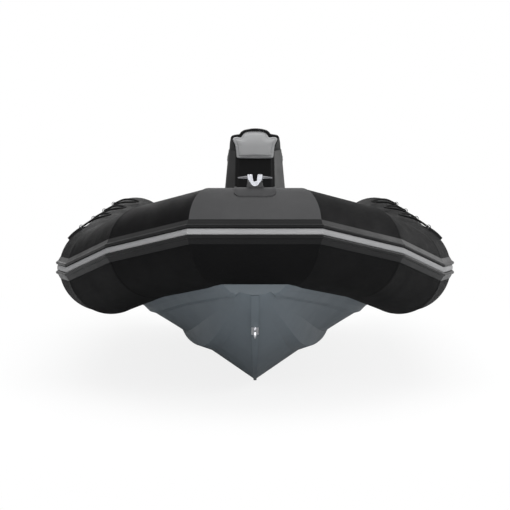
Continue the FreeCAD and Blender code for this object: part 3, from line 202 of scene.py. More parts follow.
def noise(tree, scale, detail=4.0, rough=0.6):
    place = tree.nodes.new("ShaderNodeTexCoord")
    texture = tree.nodes.new("ShaderNodeTexNoise")
    texture.inputs["Scale"].default_value = scale
    texture.inputs["Detail"].default_value = detail
    texture.inputs["Roughness"].default_value = rough
    tree.links.new(place.outputs["Object"], texture.inputs["Vector"])
    return texture.outputs["Fac"]


def wave(tree, pitch, turn):
    """Ridges across X after a turn about Z, one for each pitch."""
    place = tree.nodes.new("ShaderNodeTexCoord")
    mapping = tree.nodes.new("ShaderNodeMapping")
    mapping.inputs["Rotation"].default_value = (0.0, 0.0, turn)
    texture = tree.nodes.new("ShaderNodeTexWave")
    texture.wave_type = "BANDS"
    texture.bands_direction = "X"
    texture.inputs["Scale"].default_value = 2.0 * math.pi / (20.0 * pitch)
    tree.links.new(place.outputs["Object"], mapping.inputs["Vector"])
    tree.links.new(mapping.outputs["Vector"], texture.inputs["Vector"])
    return texture.outputs["Fac"]


def ramp(tree, factor, low, high, start=0.3, end=0.7):
    blend = tree.nodes.new("ShaderNodeValToRGB")
    blend.color_ramp.elements[0].position = start
    blend.color_ramp.elements[0].color = (*low, 1.0)
    blend.color_ramp.elements[1].position = end
    blend.color_ramp.elements[1].color = (*high, 1.0)
    tree.links.new(factor, blend.inputs["Fac"])
    return blend.outputs["Color"]


def bump(tree, height, strength, distance, under=None):
    relief = tree.nodes.new("ShaderNodeBump")
    relief.inputs["Strength"].default_value = strength
    relief.inputs["Distance"].default_value = distance
    tree.links.new(height, relief.inputs["Height"])
    if under is not None:
        tree.links.new(under, relief.inputs["Normal"])
    return relief.outputs["Normal"]


def edge_wear(tree, base_socket, worn, amount):
    """Lighten convex edges a little, as handling does."""
    point = tree.nodes.new("ShaderNodeNewGeometry")
    spread = ramp(tree, point.outputs["Pointiness"], BLACK, WHITE, 0.52, 0.62)
    broken = maths(tree, "MULTIPLY", spread, noise(tree, 45.0))
    mix = tree.nodes.new("ShaderNodeMix")
    mix.data_type = "RGBA"
    tree.links.new(maths(tree, "MULTIPLY", broken, amount), mix.inputs["Factor"])
    tree.links.new(base_socket, mix.inputs["A"])
    mix.inputs["B"].default_value = (*worn, 1.0)
    return mix.outputs["Result"]


def mottle(tree, shader, base, amount, scale, rough_low, rough_high, wear=0.0):
    """Vary colour and roughness a little over the surface."""
    low = tuple(c * (1.0 - amount) for c in base)
    high = tuple(c * (1.0 + amount) for c in base)
    colour = ramp(tree, noise(tree, scale), low, high)
    if wear:
        colour = edge_wear(tree, colour, tuple(min(1.0, c * 2.2 + 0.02) for c in base), wear)
    tree.links.new(colour, shader.inputs["Base Color"])
    rough = ramp(tree, noise(tree, scale * 3.1), (rough_low,) * 3, (rough_high,) * 3)
    tree.links.new(rough, shader.inputs["Roughness"])


def coated_fabric(name, base, rough, specular):
    """Rubber-coated cloth: a fine woven grain under a satin coat, with faint swells."""
    surface, tree, shader = new_material(name, base, rough, specular=specular)
    mottle(tree, shader, base, 0.14, 3.0, rough - 0.05, rough + 0.07)
    weave = maths(tree, "ADD", wave(tree, WEAVE_PITCH, WEAVE_TURN), wave(tree, WEAVE_PITCH, -WEAVE_TURN))
    fine = bump(tree, maths(tree, "ADD", weave, noise(tree, 700.0, 2.0)), 0.4, 0.0004)
    broad = bump(tree, noise(tree, 4.0, 2.0), 0.12, 0.004, fine)
    tree.links.new(broad, shader.inputs["Normal"])
    return surface


def moulded(name, base, rough, coat=0.0, grain=0.0, specular=0.5, swell=0.06, wear=0.0):
    """Plastic, rubber or gelcoat, with as much grain, swell and edge wear as is asked."""
    surface, tree, shader = new_material(name, base, rough, coat=coat, specular=specular)
    mottle(tree, shader, base, 0.07, 2.2, max(0.03, rough - 0.06), rough + 0.06, wear)
    relief = bump(tree, noise(tree, 6.0, 2.0), swell, 0.002)
    if grain:
        relief = bump(tree, noise(tree, 700.0, 3.0), grain, 0.0006, relief)
    tree.links.new(relief, shader.inputs["Normal"])
    return surface


def leather(name, base, rough):
    """Coated upholstery with a pebbled grain."""
    surface, tree, shader = new_material(name, base, rough, specular=0.4)
    mottle(tree, shader, base, 0.05, 5.0, rough - 0.05, rough + 0.08)
    place = tree.nodes.new("ShaderNodeTexCoord")
    cells = tree.nodes.new("ShaderNodeTexVoronoi")
    cells.feature = "DISTANCE_TO_EDGE"
    cells.inputs["Scale"].default_value = 420.0
    tree.links.new(place.outputs["Object"], cells.inputs["Vector"])
    pebble = ramp(tree, cells.outputs["Distance"], BLACK, WHITE, 0.0, 0.35)
    creases = bump(tree, noise(tree, 14.0), 0.1, 0.002)
    tree.links.new(bump(tree, pebble, 0.3, 0.0005, creases), shader.inputs["Normal"])
    return surface


def deck_moulding(name, base):
    """Gelcoat with a pattern of raised lozenges on faces that are walked on."""
    surface, tree, shader = new_material(name, base, 0.5, coat=0.15, specular=0.4)
    mottle(tree, shader, base, 0.06, 3.0, 0.42, 0.58, 0.3)
    one = ramp(tree, wave(tree, LOZENGE_PITCH, LOZENGE_TURN), BLACK, WHITE, 0.55, 0.75)
    two = ramp(tree, wave(tree, LOZENGE_PITCH, -LOZENGE_TURN), BLACK, WHITE, 0.55, 0.75)
    geometry = tree.nodes.new("ShaderNodeNewGeometry")
    parts = tree.nodes.new("ShaderNodeSeparateXYZ")
    tree.links.new(geometry.outputs["True Normal"], parts.inputs[0])
    flat = maths(tree, "GREATER_THAN", parts.outputs["Z"], LEVEL_ENOUGH)
    lozenge = maths(tree, "MULTIPLY", maths(tree, "MULTIPLY", one, two), flat)
    relief = bump(tree, lozenge, 0.9, 0.0012, bump(tree, noise(tree, 500.0, 3.0), 0.15, 0.0004))
    tree.links.new(relief, shader.inputs["Normal"])
    return surface


def braid(name, base):
    """Rope with a crossed braid."""
    surface, tree, shader = new_material(name, base, 0.75, specular=0.06)
    mottle(tree, shader, base, 0.3, 60.0, 0.65, 0.85)
    one, two = wave(tree, BRAID_PITCH, BRAID_TURN), wave(tree, BRAID_PITCH, -BRAID_TURN)
    cross = maths(tree, "MULTIPLY", one, two)
    tree.links.new(bump(tree, cross, 0.8, 0.001), shader.inputs["Normal"])
    return surface


def metal(name, base, rough):
    """Drawn or cast metal with faint changes of polish."""
    surface, tree, shader = new_material(name, base, rough, metallic=1.0)
    streaks = noise(tree, 25.0, 3.0, 0.5)
    polish = ramp(tree, streaks, (rough * 0.85,) * 3, (rough * 1.2,) * 3)
    tree.links.new(polish, shader.inputs["Roughness"])
    tree.links.new(bump(tree, noise(tree, 400.0, 3.0), 0.05, 0.0003), shader.inputs["Normal"])
    return surface


def fairlead_metal(name):
    """Polished in the rope's channel, dull and dark on the two horns beside it."""
    surface, tree, shader = new_material(name, (0.6, 0.6, 0.62), 0.3, metallic=1.0)
    place = tree.nodes.new("ShaderNodeTexCoord")
    parts = tree.nodes.new("ShaderNodeSeparateXYZ")
    tree.links.new(place.outputs["Object"], parts.inputs[0])
    out = maths(tree, "ABSOLUTE", parts.outputs["X"], 0.0)
    tenths = maths(tree, "MULTIPLY", out, 10.0)
    colour = ramp(tree, tenths, (0.30, 0.305, 0.325), (0.09, 0.09, 0.095), *HORN_START)
    tree.links.new(colour, shader.inputs["Base Color"])
    tree.links.new(ramp(tree, noise(tree, 90.0), (0.24,) * 3, (0.42,) * 3), shader.inputs["Roughness"])
    tree.links.new(bump(tree, noise(tree, 300.0, 3.0), 0.1, 0.0003), shader.inputs["Normal"])
    return surface


def glass(name):
    """Clear, with a few smudges."""
    surface, tree, shader = new_material(name, (0.95, 0.96, 0.97), 0.03)
    shader.inputs["Transmission Weight"].default_value = 1.0
    shader.inputs["IOR"].default_value = 1.45
    smudge = ramp(tree, noise(tree, 30.0), (0.02,) * 3, (0.09,) * 3)
    tree.links.new(smudge, shader.inputs["Roughness"])
    return surface


# A look for each material slot of the record, with colours as linear values
LOOKS = {
    "tube_skin": coated_fabric("tube_fabric", (0.0046, 0.0046, 0.0048), 0.55, 0.016),
    "patch_grey": coated_fabric("patch_fabric", (0.060, 0.060, 0.061), 0.6, 0.03),
    "strake_black": moulded("strake_rubber", (0.0075, 0.0075, 0.0078), 0.4, grain=0.05, specular=0.07),
    "strake_grey": moulded("strake_stripe", (0.275, 0.275, 0.278), 0.6, grain=0.02, specular=0.1, swell=0.0),
    "hull_gel": moulded("hull_gelcoat", (0.084, 0.099, 0.111), 0.42, coat=0.03, specular=0.10, swell=0.0),
    "deck_gel": deck_moulding("deck_gelcoat", (0.33, 0.34, 0.35)),
    "moulded_black": moulded("console_moulding", (0.0040, 0.0040, 0.0042), 0.4, specular=0.09, swell=0.02),
    "pad_grey": moulded("bow_pad_rubber", (0.042, 0.042, 0.043), 0.55, grain=0.3, specular=0.03),
    "panel_light": leather("front_pad_cover", (0.34, 0.34, 0.343), 0.55),
    "cushion_grey": leather("cushion_cover", (0.30, 0.30, 0.305), 0.5),
    "stainless": metal("stainless_steel", (0.66, 0.66, 0.68), 0.16),
    "alloy": metal("cast_alloy", (0.56, 0.57, 0.6), 0.3),
    "plastic_black": moulded("black_plastic", (0.014, 0.014, 0.0145), 0.45, grain=0.35, specular=0.35,
                             wear=0.3),
    "rope_black": braid("rope_braid", (0.006, 0.006, 0.006)),
    "rubber_black": moulded("fitting_rubber", (0.010, 0.010, 0.0105), 0.55, grain=0.3, specular=0.12),
    "ply_pad": moulded("motor_pad_plastic", (0.016, 0.016, 0.017), 0.5, grain=0.5, specular=0.35, wear=0.4),
}
DARK_THREAD = moulded("dark_thread", (0.05, 0.05, 0.052), 0.7, grain=0.4)
DIAL_FACE = moulded("dial_face", (0.01, 0.01, 0.011), 0.35)
DIAL_MARK = moulded("dial_mark", (0.8, 0.8, 0.78), 0.5)
NEEDLE = moulded("dial_needle", (0.6, 0.06, 0.03), 0.4)
GLASS = glass("dial_glass")
LOOP_STEEL = metal("loop_steel", (0.07, 0.07, 0.073), 0.3)
OWN_LOOKS = {"bow_fairlead": fairlead_metal("cast_fairlead"),
             "rope_loops_port": LOOP_STEEL, "rope_loops_starboard": LOOP_STEEL}
slot_of = {entry["node"]: entry["material_slot"] for entry in frame["record"]["subparts"]}
for name, thing in nodes.items():
    look = OWN_LOOKS.get(name, LOOKS[slot_of[name]])
    for holder in thing.material_slots:
        holder.material = look


# Shapes
def frame_at(place, axis, side=ACROSS):
    """A matrix whose Z runs along axis, with X as near to side as it can be."""
    z = Vector(axis).normalized()
    x = side - z * z.dot(side)
    if x.length < 1e-3:
        x = z.orthogonal()
    x.normalize()
    y = z.cross(x)
    rows = [(x[i], y[i], z[i], place[i]) for i in range(3)]
    return Matrix((*rows, (0.0, 0.0, 0.0, 1.0)))


def shifted(matrix, x, y, z):
    """The matrix moved along its own axes."""
    return matrix @ Matrix.Translation((x, y, z))


def turns(count):
    """Angles in equal steps round a circle."""
    return [2.0 * math.pi * k / count for k in range(count)]


def corners_of(node):
    """A node's lowest and highest corners at rest."""
    low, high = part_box(node)
    return Vector(low), Vector(high)


def surface_of(*names):
    """A search tree over the faces of CAD nodes or finished pieces."""
    points, faces = [], []
    for name in names:
        mesh = (nodes[name] if name in nodes else bpy.data.objects[name]).data
        first = len(points)
        points += [v.co.copy() for v in mesh.vertices]
        faces += [tuple(first + i for i in p.vertices) for p in mesh.polygons]
    return BVHTree.FromPolygons(points, faces)


# How far a fitting's foot goes into what carries it
SUNK = 0.001


class Form:
    """Several small closed shapes that become one piece."""

    def __init__(self):
        self.mesh = bmesh.new()

    def skin(self, loops, looped=False):
        """Join loops of points in a row, and close the row or cap its two ends."""
        rows = [[self.mesh.verts.new(p) for p in loop] for loop in loops]
        count = len(rows[0])
        pairs = list(zip(rows, rows[1:] + rows[:1])) if looped else list(zip(rows, rows[1:]))
        for one, two in pairs:
            for k in range(count):
                after = (k + 1) % count
                self.mesh.faces.new((one[k], one[after], two[after], two[k]))
        if not looped:
            self.mesh.faces.new(rows[0][::-1])
            self.mesh.faces.new(rows[-1])

    def lathe(self, matrix, profile, sides, lobes=0, depth=0.0):
        """Turn (radius, height) pairs about the matrix's Z, with scallops round the rim if asked."""
        loops = []
        for radius, height in profile:
            loop = []
            for a in turns(sides):
                reach = radius - (depth * 0.5 * (1.0 + math.cos(lobes * a)) if lobes else 0.0)
                loop.append(matrix @ Vector((reach * math.cos(a), reach * math.sin(a), height)))
            loops.append(loop)
        self.skin(loops)

    def rod(self, points, radius, sides=8, looped=False):
        """A round bar along points."""
        points = [Vector(p) for p in points]
        total = len(points)
        loops = []
        side = None
        for k, point in enumerate(points):
            before = points[k - 1] if looped or k else points[k]
            after = points[(k + 1) % total] if looped or k + 1 < total else points[k]
            run = (after - before).normalized()
            if side is None:
                side = run.orthogonal().normalized()
            else:
                side = (side - run * run.dot(side)).normalized()
            over = run.cross(side)
            loops.append([point + side * (math.cos(a) * radius) + over * (math.sin(a) * radius)
                          for a in turns(sides)])
        self.skin(loops, looped)

    def block(self, matrix, size, bevel, segments=3):
        """A box with rounded edges, centred on the matrix, made apart and copied in."""
        box = bmesh.new()
        bmesh.ops.create_cube(box, size=1.0, matrix=matrix @ Matrix.Diagonal((*size, 1.0)))
        bmesh.ops.bevel(box, geom=box.edges[:], offset=bevel, segments=segments, affect="EDGES", profile=0.5)
        box.verts.index_update()
        points = [self.mesh.verts.new(vert.co) for vert in box.verts]
        for face in box.faces:
            self.mesh.faces.new([points[vert.index] for vert in face.verts])
        box.free()

    def screw(self, matrix, radius):
        """A pan-head screw with a six-sided socket."""
        head = ((1.0, 0.25), (0.86, 0.5), (0.5, 0.62), (0.46, 0.6), (0.42, 0.15))
        self.lathe(matrix, [(radius, -SUNK)] + [(radius * out, radius * up) for out, up in head], 24)

    def bolt(self, matrix, radius):
        """A hexagon head on a washer."""
        washer, head = ((1.65, 0.2), (1.55, 0.28)), ((1.05, 0.0), (1.05, 0.85), (0.85, 1.02))
        foot = [(radius * 1.65, -SUNK)]
        self.lathe(matrix, foot + [(radius * out, radius * up) for out, up in washer], 24)
        self.lathe(matrix, [(radius * out, radius * up) for out, up in head], 6)

    def done(self, name, body, look, slot, sharp=38.0):
        """Make the piece, smooth but for edges sharper than that many degrees."""
        bmesh.ops.recalc_face_normals(self.mesh, faces=self.mesh.faces[:])
        data = bpy.data.meshes.new(name)
        self.mesh.to_mesh(data)
        self.mesh.free()
        data.materials.append(look)
        data.shade_smooth()
        data.set_sharp_from_angle(angle=math.radians(sharp))
        thing = add_object(name, data)
        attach(thing, body)
        return thing


# Tubes
TUBE_LINE = [Vector(p) for p in ((0.0, -1.740, 0.600), (0.177, -1.740, 0.600), (0.472, -1.373, 0.508),
                                 (0.678, -0.957, 0.393), (0.730, -0.763, 0.385), (0.730, 1.750, 0.385))]
TUBE_RADIUS = 0.210
TAPED = ("shoulder_a", "shoulder_b", "shoulder_c", "side", "cone")
SIDE_TAPES = (0.30, 1.05)
CONE_END = 2.0
TAPE_HALF = 0.011
TAPE_LIFT = 0.0009
TAPE_DEPTH = 0.0015
TAPE_STEPS = 96


def seam_ring(form, skin, centre, before, after):
    """A taped seam round the tube where two lengths meet, laid on the tube's own surface."""
    across = (before + after).normalized()
    side = across.cross(UP).normalized()
    over = side.cross(across).normalized()
    rims = ((-1.0, before), (-0.5, before), (0.5, after), (1.0, after))
    loops = []
    for a in turns(TAPE_STEPS):
        ray = (side * math.cos(a) + over * math.sin(a)).normalized()
        row = []
        for share, run in rims:
            start = centre + run * (TAPE_HALF * share)
            place = skin.ray_cast(start, ray, TUBE_RADIUS * 1.8)[0]
            row.append((place, (place - start).normalized()))
        outer = [place + out * (TAPE_LIFT * rise) for (place, out), rise in zip(row, (0.6, 1.0, 1.0, 0.6))]
        inner = [place - out * TAPE_DEPTH for place, out in reversed(row)]
        loops.append(outer + inner)
    form.skin(loops, looped=True)


def tube_seams():
    """Tapes over the mitres aft of the patch, at the cone and round the long side length."""
    last = TUBE_LINE[-1]
    for sign, name in ((1.0, "port"), (-1.0, "starboard")):
        skin = surface_of(*(f"tube_{part}_{name}" for part in TAPED))
        line = [Vector((p.x * sign, p.y, p.z)) for p in TUBE_LINE + [Vector((last.x, CONE_END, last.z))]]
        form = Form()
        for k in range(2, len(TUBE_LINE)):
            before = (line[k] - line[k - 1]).normalized()
            after = (line[k + 1] - line[k]).normalized()
            seam_ring(form, skin, line[k], before, after)
        for y in SIDE_TAPES:
            seam_ring(form, skin, Vector((last.x * sign, y, last.z)), AFT, AFT)
        form.done(f"tube_seam_tapes_{name}", "boat", LOOKS["tube_skin"], "tube_skin", 60.0)


# Helm
DASH_FACE = Vector((0.0, -0.0861, 0.8387))
HELM_NORMAL = Vector((0.0, 0.848, 0.530)).normalized()
HELM_UP = Vector((0.0, -0.530, 0.848)).normalized()
COWL_FACE = Vector((0.0, -0.238, 0.940))
WHEEL_HUB = (0.0, -0.02, 0.88)
GAUGES = ((-0.052, 200.0), (0.052, 165.0))  # place across, and the needle's angle in degrees
GAUGE_UP = 0.058
GAUGE_RADIUS = 0.036
DIAL_TOP = 0.0032
# The profiles of bezel and dial, out from the gauge's radius and up
BEZEL = ((0.0, -0.002), (0.003, 0.0), (0.003, 0.004), (0.0, 0.0075),
         (-0.004, 0.0075), (-0.005, 0.004), (-0.005, 0.002))
DIAL = ((-0.005, 0.0005), (-0.0045, 0.0030), (-0.0052, DIAL_TOP))
TICKS, TICK_START, TICK_SWEEP, LONG_TICK = 31, 225.0, 270.0, 5
SWITCHES = (-0.087, -0.064, 0.064, 0.087)
SWITCH_UP = 0.062
SWITCH_TILT = 9.0
KEY_PLACE = (0.080, -0.010)
DASH_OUT = 0.006
DASH_SCREWS = [(x, up) for x in (-0.097, 0.097) for up in (-0.059, 0.089)]
GRIP_RIBS = 48
GRIP_RADIUS = 0.0125


def on_slope(origin, x, up, out=0.0):
    """A place on the helm's slope, across, up and out from its origin."""
    return frame_at(origin + ACROSS * x + HELM_UP * up + HELM_NORMAL * out, HELM_NORMAL)


def gauges():
    """Two instruments on the cowl's sloped back, each with bezel, dial, ticks, needle and glass."""
    bezels, faces, marks, needles, glasses = Form(), Form(), Form(), Form(), Form()
    radius = GAUGE_RADIUS
    for x, turn in GAUGES:
        seat = on_slope(COWL_FACE, x, GAUGE_UP)
        bezels.lathe(seat, [(radius + out, up) for out, up in BEZEL], 64)
        faces.lathe(seat, [(radius + out, up) for out, up in DIAL], 64)
        for k in range(TICKS):
            a = math.radians(TICK_START - TICK_SWEEP * k / (TICKS - 1.0))
            long, wide = (0.0045, 0.0008) if k % LONG_TICK == 0 else (0.0025, 0.0005)
            reach = radius - 0.008 - long / 2.0
            tick = shifted(seat, reach * math.cos(a), reach * math.sin(a), DIAL_TOP)
            marks.block(tick @ Matrix.Rotation(a, 4, "Z"), (long, wide, 0.0005), 0.0001, 1)
        hand = seat @ Matrix.Rotation(math.radians(turn), 4, "Z")
        needles.block(shifted(hand, radius * 0.25, 0.0, 0.0045), (radius * 0.85, 0.0013, 0.0006), 0.0002, 1)
        needles.lathe(hand, [(0.0036, DIAL_TOP), (0.0036, 0.0052), (0.0028, 0.0058)], 24)
        glasses.lathe(seat, [(radius - 0.0048, 0.0058), (radius - 0.0044, 0.0066), (radius * 0.5, 0.0072),
                             (0.002, 0.0074)], 48)
    bezels.done("gauge_bezels", "boat", LOOKS["stainless"], "stainless")
    faces.done("gauge_dials", "boat", DIAL_FACE, "plastic_black")
    marks.done("gauge_marks", "boat", DIAL_MARK, "panel_light")
    needles.done("gauge_needles", "boat", NEEDLE, "plastic_black")
    glasses.done("gauge_glasses", "boat", GLASS, "plastic_black")


def dash_controls():
    """Rocker switches, the key switch and the screws that hold the dash."""
    plates, rockers, screws, key = Form(), Form(), Form(), Form()
    for k, x in enumerate(SWITCHES):
        seat = on_slope(DASH_FACE, x, SWITCH_UP, DASH_OUT)
        plates.block(shifted(seat, 0.0, 0.0, 0.0008), (0.019, 0.030, 0.0030), 0.0012)
        tilt = Matrix.Rotation(math.radians(SWITCH_TILT if k % 2 else -SWITCH_TILT), 4, "X")
        rockers.block(shifted(seat, 0.0, 0.0, 0.0028) @ tilt, (0.0135, 0.0235, 0.0060), 0.0015)
    seat = on_slope(DASH_FACE, *KEY_PLACE, DASH_OUT)
    key.lathe(seat, [(0.0125, -SUNK), (0.0125, 0.003), (0.0110, 0.0045), (0.0085, 0.0048),
                     (0.0080, 0.0040)], 40)
    key.block(shifted(seat, 0.0, 0.0, 0.010), (0.0022, 0.0085, 0.016), 0.0006, 2)
    bow = shifted(seat, -0.0011, 0.0, 0.024) @ Matrix.Rotation(math.radians(90.0), 4, "Y")
    key.lathe(bow, [(0.0085, 0.0), (0.0095, 0.0005), (0.0095, 0.0018), (0.0085, 0.0023)], 32)
    for x, up in DASH_SCREWS:
        screws.screw(on_slope(DASH_FACE, x, up, DASH_OUT), 0.0034)
    plates.done("switch_plates", "boat", LOOKS["plastic_black"], "plastic_black")
    rockers.done("switch_rockers", "boat", LOOKS["rubber_black"], "rubber_black")
    key.done("key_switch", "boat", LOOKS["alloy"], "alloy")
    screws.done("dash_screws", "boat", LOOKS["stainless"], "stainless")


def wheel_trim():
    """The wheel's centre cap and the ribs of its grip, laid on the rim by casting rays."""
    seat = frame_at(WHEEL_HUB, HELM_NORMAL)
    cap = Form()
    cap.lathe(seat, [(0.030, 0.004), (0.0325, 0.012), (0.0320, 0.0175), (0.0270, 0.0215), (0.0255, 0.0205),
                     (0.0240, 0.0215), (0.0130, 0.0235), (0.0010, 0.0240)], 64)
    cap.done("wheel_cap", "wheel", LOOKS["plastic_black"], "plastic_black")
    rim = surface_of("steering_wheel")
    ribs = Form()
    for a in turns(GRIP_RIBS):
        ray = seat.to_3x3() @ Vector((math.cos(a), math.sin(a), 0.0))
        place = rim.ray_cast(seat.translation + ray * 0.20, -ray, 0.12)[0]
        if place is None:
            continue
        core = place - ray * GRIP_RADIUS
        points = []
        for step in range(-60, 241, 15):
            b = math.radians(step)
            out = ray * math.sin(b) + HELM_NORMAL * -math.cos(b)
            hit = rim.ray_cast(core + out * 0.03, -out, 0.035)[0]
            if hit is not None:
                points.append(hit + out * 0.0002)
        if len(points) > 6:
            ribs.rod(points, 0.0011, 6)
    ribs.done("wheel_grip_ribs", "wheel", LOOKS["rubber_black"], "rubber_black")


# Padding
SWELL_FRAMES = 20
PRESSURE = 4.0
CHANNEL_WIDTH, CHANNEL_DEPTH = 0.0065, 0.0085
STITCH_ASIDE = 0.0085
MILLIMETRE = 0.001
PIPING_SINK = 0.0004
THREAD_LIFT, THREAD_ARCH, THREAD_RADIUS = 0.0004, 0.0005, 0.00055


def copy_of(node, name):
    """A new piece with a copy of a CAD node's mesh and no material."""
    data = nodes[node].data.copy()
    data.name = name
    data.materials.clear()
    return add_object(name, data)


def apply_modifiers(thing):
    """Keep what the modifiers make as the piece's own mesh."""
    shaped = thing.evaluated_get(bpy.context.evaluated_depsgraph_get())
    data = bpy.data.meshes.new_from_object(shaped)
    old = thing.data
    thing.modifiers.clear()
    thing.data = data
    bpy.data.meshes.remove(old)


def swell(thing, pinned, pressure, cap):
    """Blow a cover up as cloth under pressure, with each point's movement held to cap."""
    start = [v.co.copy() for v in thing.data.vertices]
    group = thing.vertex_groups.new(name="held")
    group.add([v.index for v in thing.data.vertices if pinned(v.co)], 1.0, "REPLACE")
    cloth = thing.modifiers.new("cloth", "CLOTH")
    settings = cloth.settings
    settings.quality = 6
    settings.mass = 0.3
    settings.use_pressure = True
    settings.uniform_pressure_force = pressure
    settings.vertex_group_mass = "held"
    settings.effector_weights.gravity = 0.0
    cloth.point_cache.frame_start = 1
    cloth.point_cache.frame_end = SWELL_FRAMES
    scene = bpy.context.scene
    for step in range(1, SWELL_FRAMES + 1):
        scene.frame_set(step)
    shaped = thing.evaluated_get(bpy.context.evaluated_depsgraph_get())
    ended = [v.co.copy() for v in shaped.data.vertices]
    thing.modifiers.remove(cloth)
    thing.vertex_groups.clear()
    scene.frame_set(1)
    for vertex, first, last in zip(thing.data.vertices, start, ended):
        moved = last - first
        if moved.length > cap:
            moved *= cap / moved.length
        vertex.co = first + moved


def inflate(thing, voxel, pinned, pressure, cap):
    """Remesh a closed form in voxels, blow it up and smooth it once."""
    remesh = thing.modifiers.new("remesh", "REMESH")
    remesh.mode = "VOXEL"
    remesh.voxel_size = voxel
    apply_modifiers(thing)
    swell(thing, pinned, pressure, cap)
    finer = thing.modifiers.new("finer", "SUBSURF")
    finer.levels = finer.render_levels = 1
    apply_modifiers(thing)


def dress(thing, body, look, node):
    """Finish a padded piece that stands for a CAD node."""
    thing.data.shade_smooth()
    thing.data.materials.append(look)
    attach(thing, body)
    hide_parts(node)


def padded_cover(node, name, body, look, inset, voxel, pinned, cap):
    """A cover made from a CAD pad that is drawn in a little and blown up again."""
    thing = copy_of(node, name)
    low, high = corners_of(node)
    middle = (low + high) / 2.0
    half = (high - low) / 2.0
    for vertex in thing.data.vertices:
        for axis in range(3):
            share = (half[axis] - inset[axis]) / half[axis]
            vertex.co[axis] = middle[axis] + (vertex.co[axis] - middle[axis]) * share
    inflate(thing, voxel, pinned, PRESSURE, cap)
    dress(thing, body, look, node)
    return thing


def ease(value):
    """The value held between 0 and 1."""
    return min(1.0, max(0.0, value))


def groove(offset, width, depth):
    """How far a sewn channel pulls the cover in, at an offset from its line."""
    return -depth * math.exp(-(offset / width) ** 2)


def ring_on(skin, centre, over, half, count):
    """Points round a pad in the plane of X and over, cast inwards from a rounded rectangle."""
    points = []
    for a in turns(count):
        x = math.copysign(abs(math.cos(a)) ** 0.5, math.cos(a)) * half[0]
        y = math.copysign(abs(math.sin(a)) ** 0.5, math.sin(a)) * half[1]
        way = ACROSS * x + over * y
        out = way.normalized()
        place = skin.ray_cast(centre + way + out * 0.05, -out, 0.14)[0]
        if place is not None:
            points.append(place - out * PIPING_SINK)
    return points


def stitch_row(form, skin, points, down):
    """Short threads laid end to end along points, on the surface found by casting along down."""
    laid = []
    for point in points:
        place = skin.ray_cast(point - down * 0.06, down, 0.12)[0]
        if place is not None:
            laid.append(place - down * THREAD_LIFT)
    for one, two in zip(laid[0::2], laid[1::2]):
        middle = (one + two) / 2.0 - down * THREAD_ARCH
        form.rod([one + down * SUNK, one, middle, two, two + down * SUNK], THREAD_RADIUS, 5)


def seat_cushion():
    """The seat's cushion with its cross channels, piping and stitches."""
    low, high = corners_of("seat_cushion")
    cushion = padded_cover("seat_cushion", "seat_cushion_cover", "seat", LOOKS["cushion_grey"],
                           (0.006, 0.006, 0.004), 0.007,
                           lambda p: p.z < low.z + 0.008, 0.012)
    lines = [low.y + 0.055 + k * (high.y - low.y - 0.11) / 5.0 for k in range(6)]
    top = high.z - 0.035
    for vertex in cushion.data.vertices:
        p = vertex.co
        if p.z > top:
            share = ease((p.z - top) / 0.015) * ease((0.146 - abs(p.x)) / 0.02)
            p.z += share * sum(groove(p.y - y, CHANNEL_WIDTH, CHANNEL_DEPTH) for y in lines)
    skin = surface_of(cushion.name)
    middle = (low + high) / 2.0
    piping = Form()
    for level in (high.z - 0.022, low.z + 0.016):
        points = ring_on(skin, Vector((middle.x, middle.y, level)), AFT, (0.160, 0.370), 160)
        piping.rod(points, 0.0028, looped=True)
    piping.done("seat_piping", "seat", LOOKS["rubber_black"], "cushion_grey")
    threads = Form()
    for y in lines:
        for side in (-STITCH_ASIDE, STITCH_ASIDE):
            row = [Vector((x * MILLIMETRE, y + side, high.z)) for x in range(-128, 129, 4)]
            stitch_row(threads, skin, row, DOWN)
    threads.done("seat_stitching", "seat", DARK_THREAD, "cushion_grey")


def backrest():
    """The backrest's pad with its three channels, piping and stitches."""
    low, high = corners_of("backrest_pad")
    pad = padded_cover("backrest_pad", "backrest_cover", "boat", LOOKS["cushion_grey"],
                       (0.006, 0.006, 0.006), 0.006,
                       lambda p: p.y > high.y - 0.009, 0.011)
    lines = [low.z + k * (high.z - low.z) / 4.0 for k in (1, 2, 3)]
    face = (low.y + high.y) / 2.0
    for vertex in pad.data.vertices:
        p = vertex.co
        if p.y < face:
            share = ease((face - p.y) / 0.015) * ease((0.134 - abs(p.x)) / 0.02)
            p.y -= share * sum(groove(p.z - z, CHANNEL_WIDTH, CHANNEL_DEPTH) for z in lines)
    skin = surface_of(pad.name)
    middle = (low + high) / 2.0
    piping = Form()
    for level in (low.y + 0.020, high.y - 0.016):
        points = ring_on(skin, Vector((middle.x, level, middle.z)), UP, (0.150, 0.142), 120)
        piping.rod(points, 0.0026, looped=True)
    piping.done("backrest_piping", "boat", LOOKS["rubber_black"], "cushion_grey")
    threads = Form()
    for z in lines:
        for side in (-STITCH_ASIDE, STITCH_ASIDE):
            row = [Vector((x * MILLIMETRE, low.y, z + side)) for x in range(-116, 117, 4)]
            stitch_row(threads, skin, row, AFT)
    threads.done("backrest_stitching", "boat", DARK_THREAD, "cushion_grey")


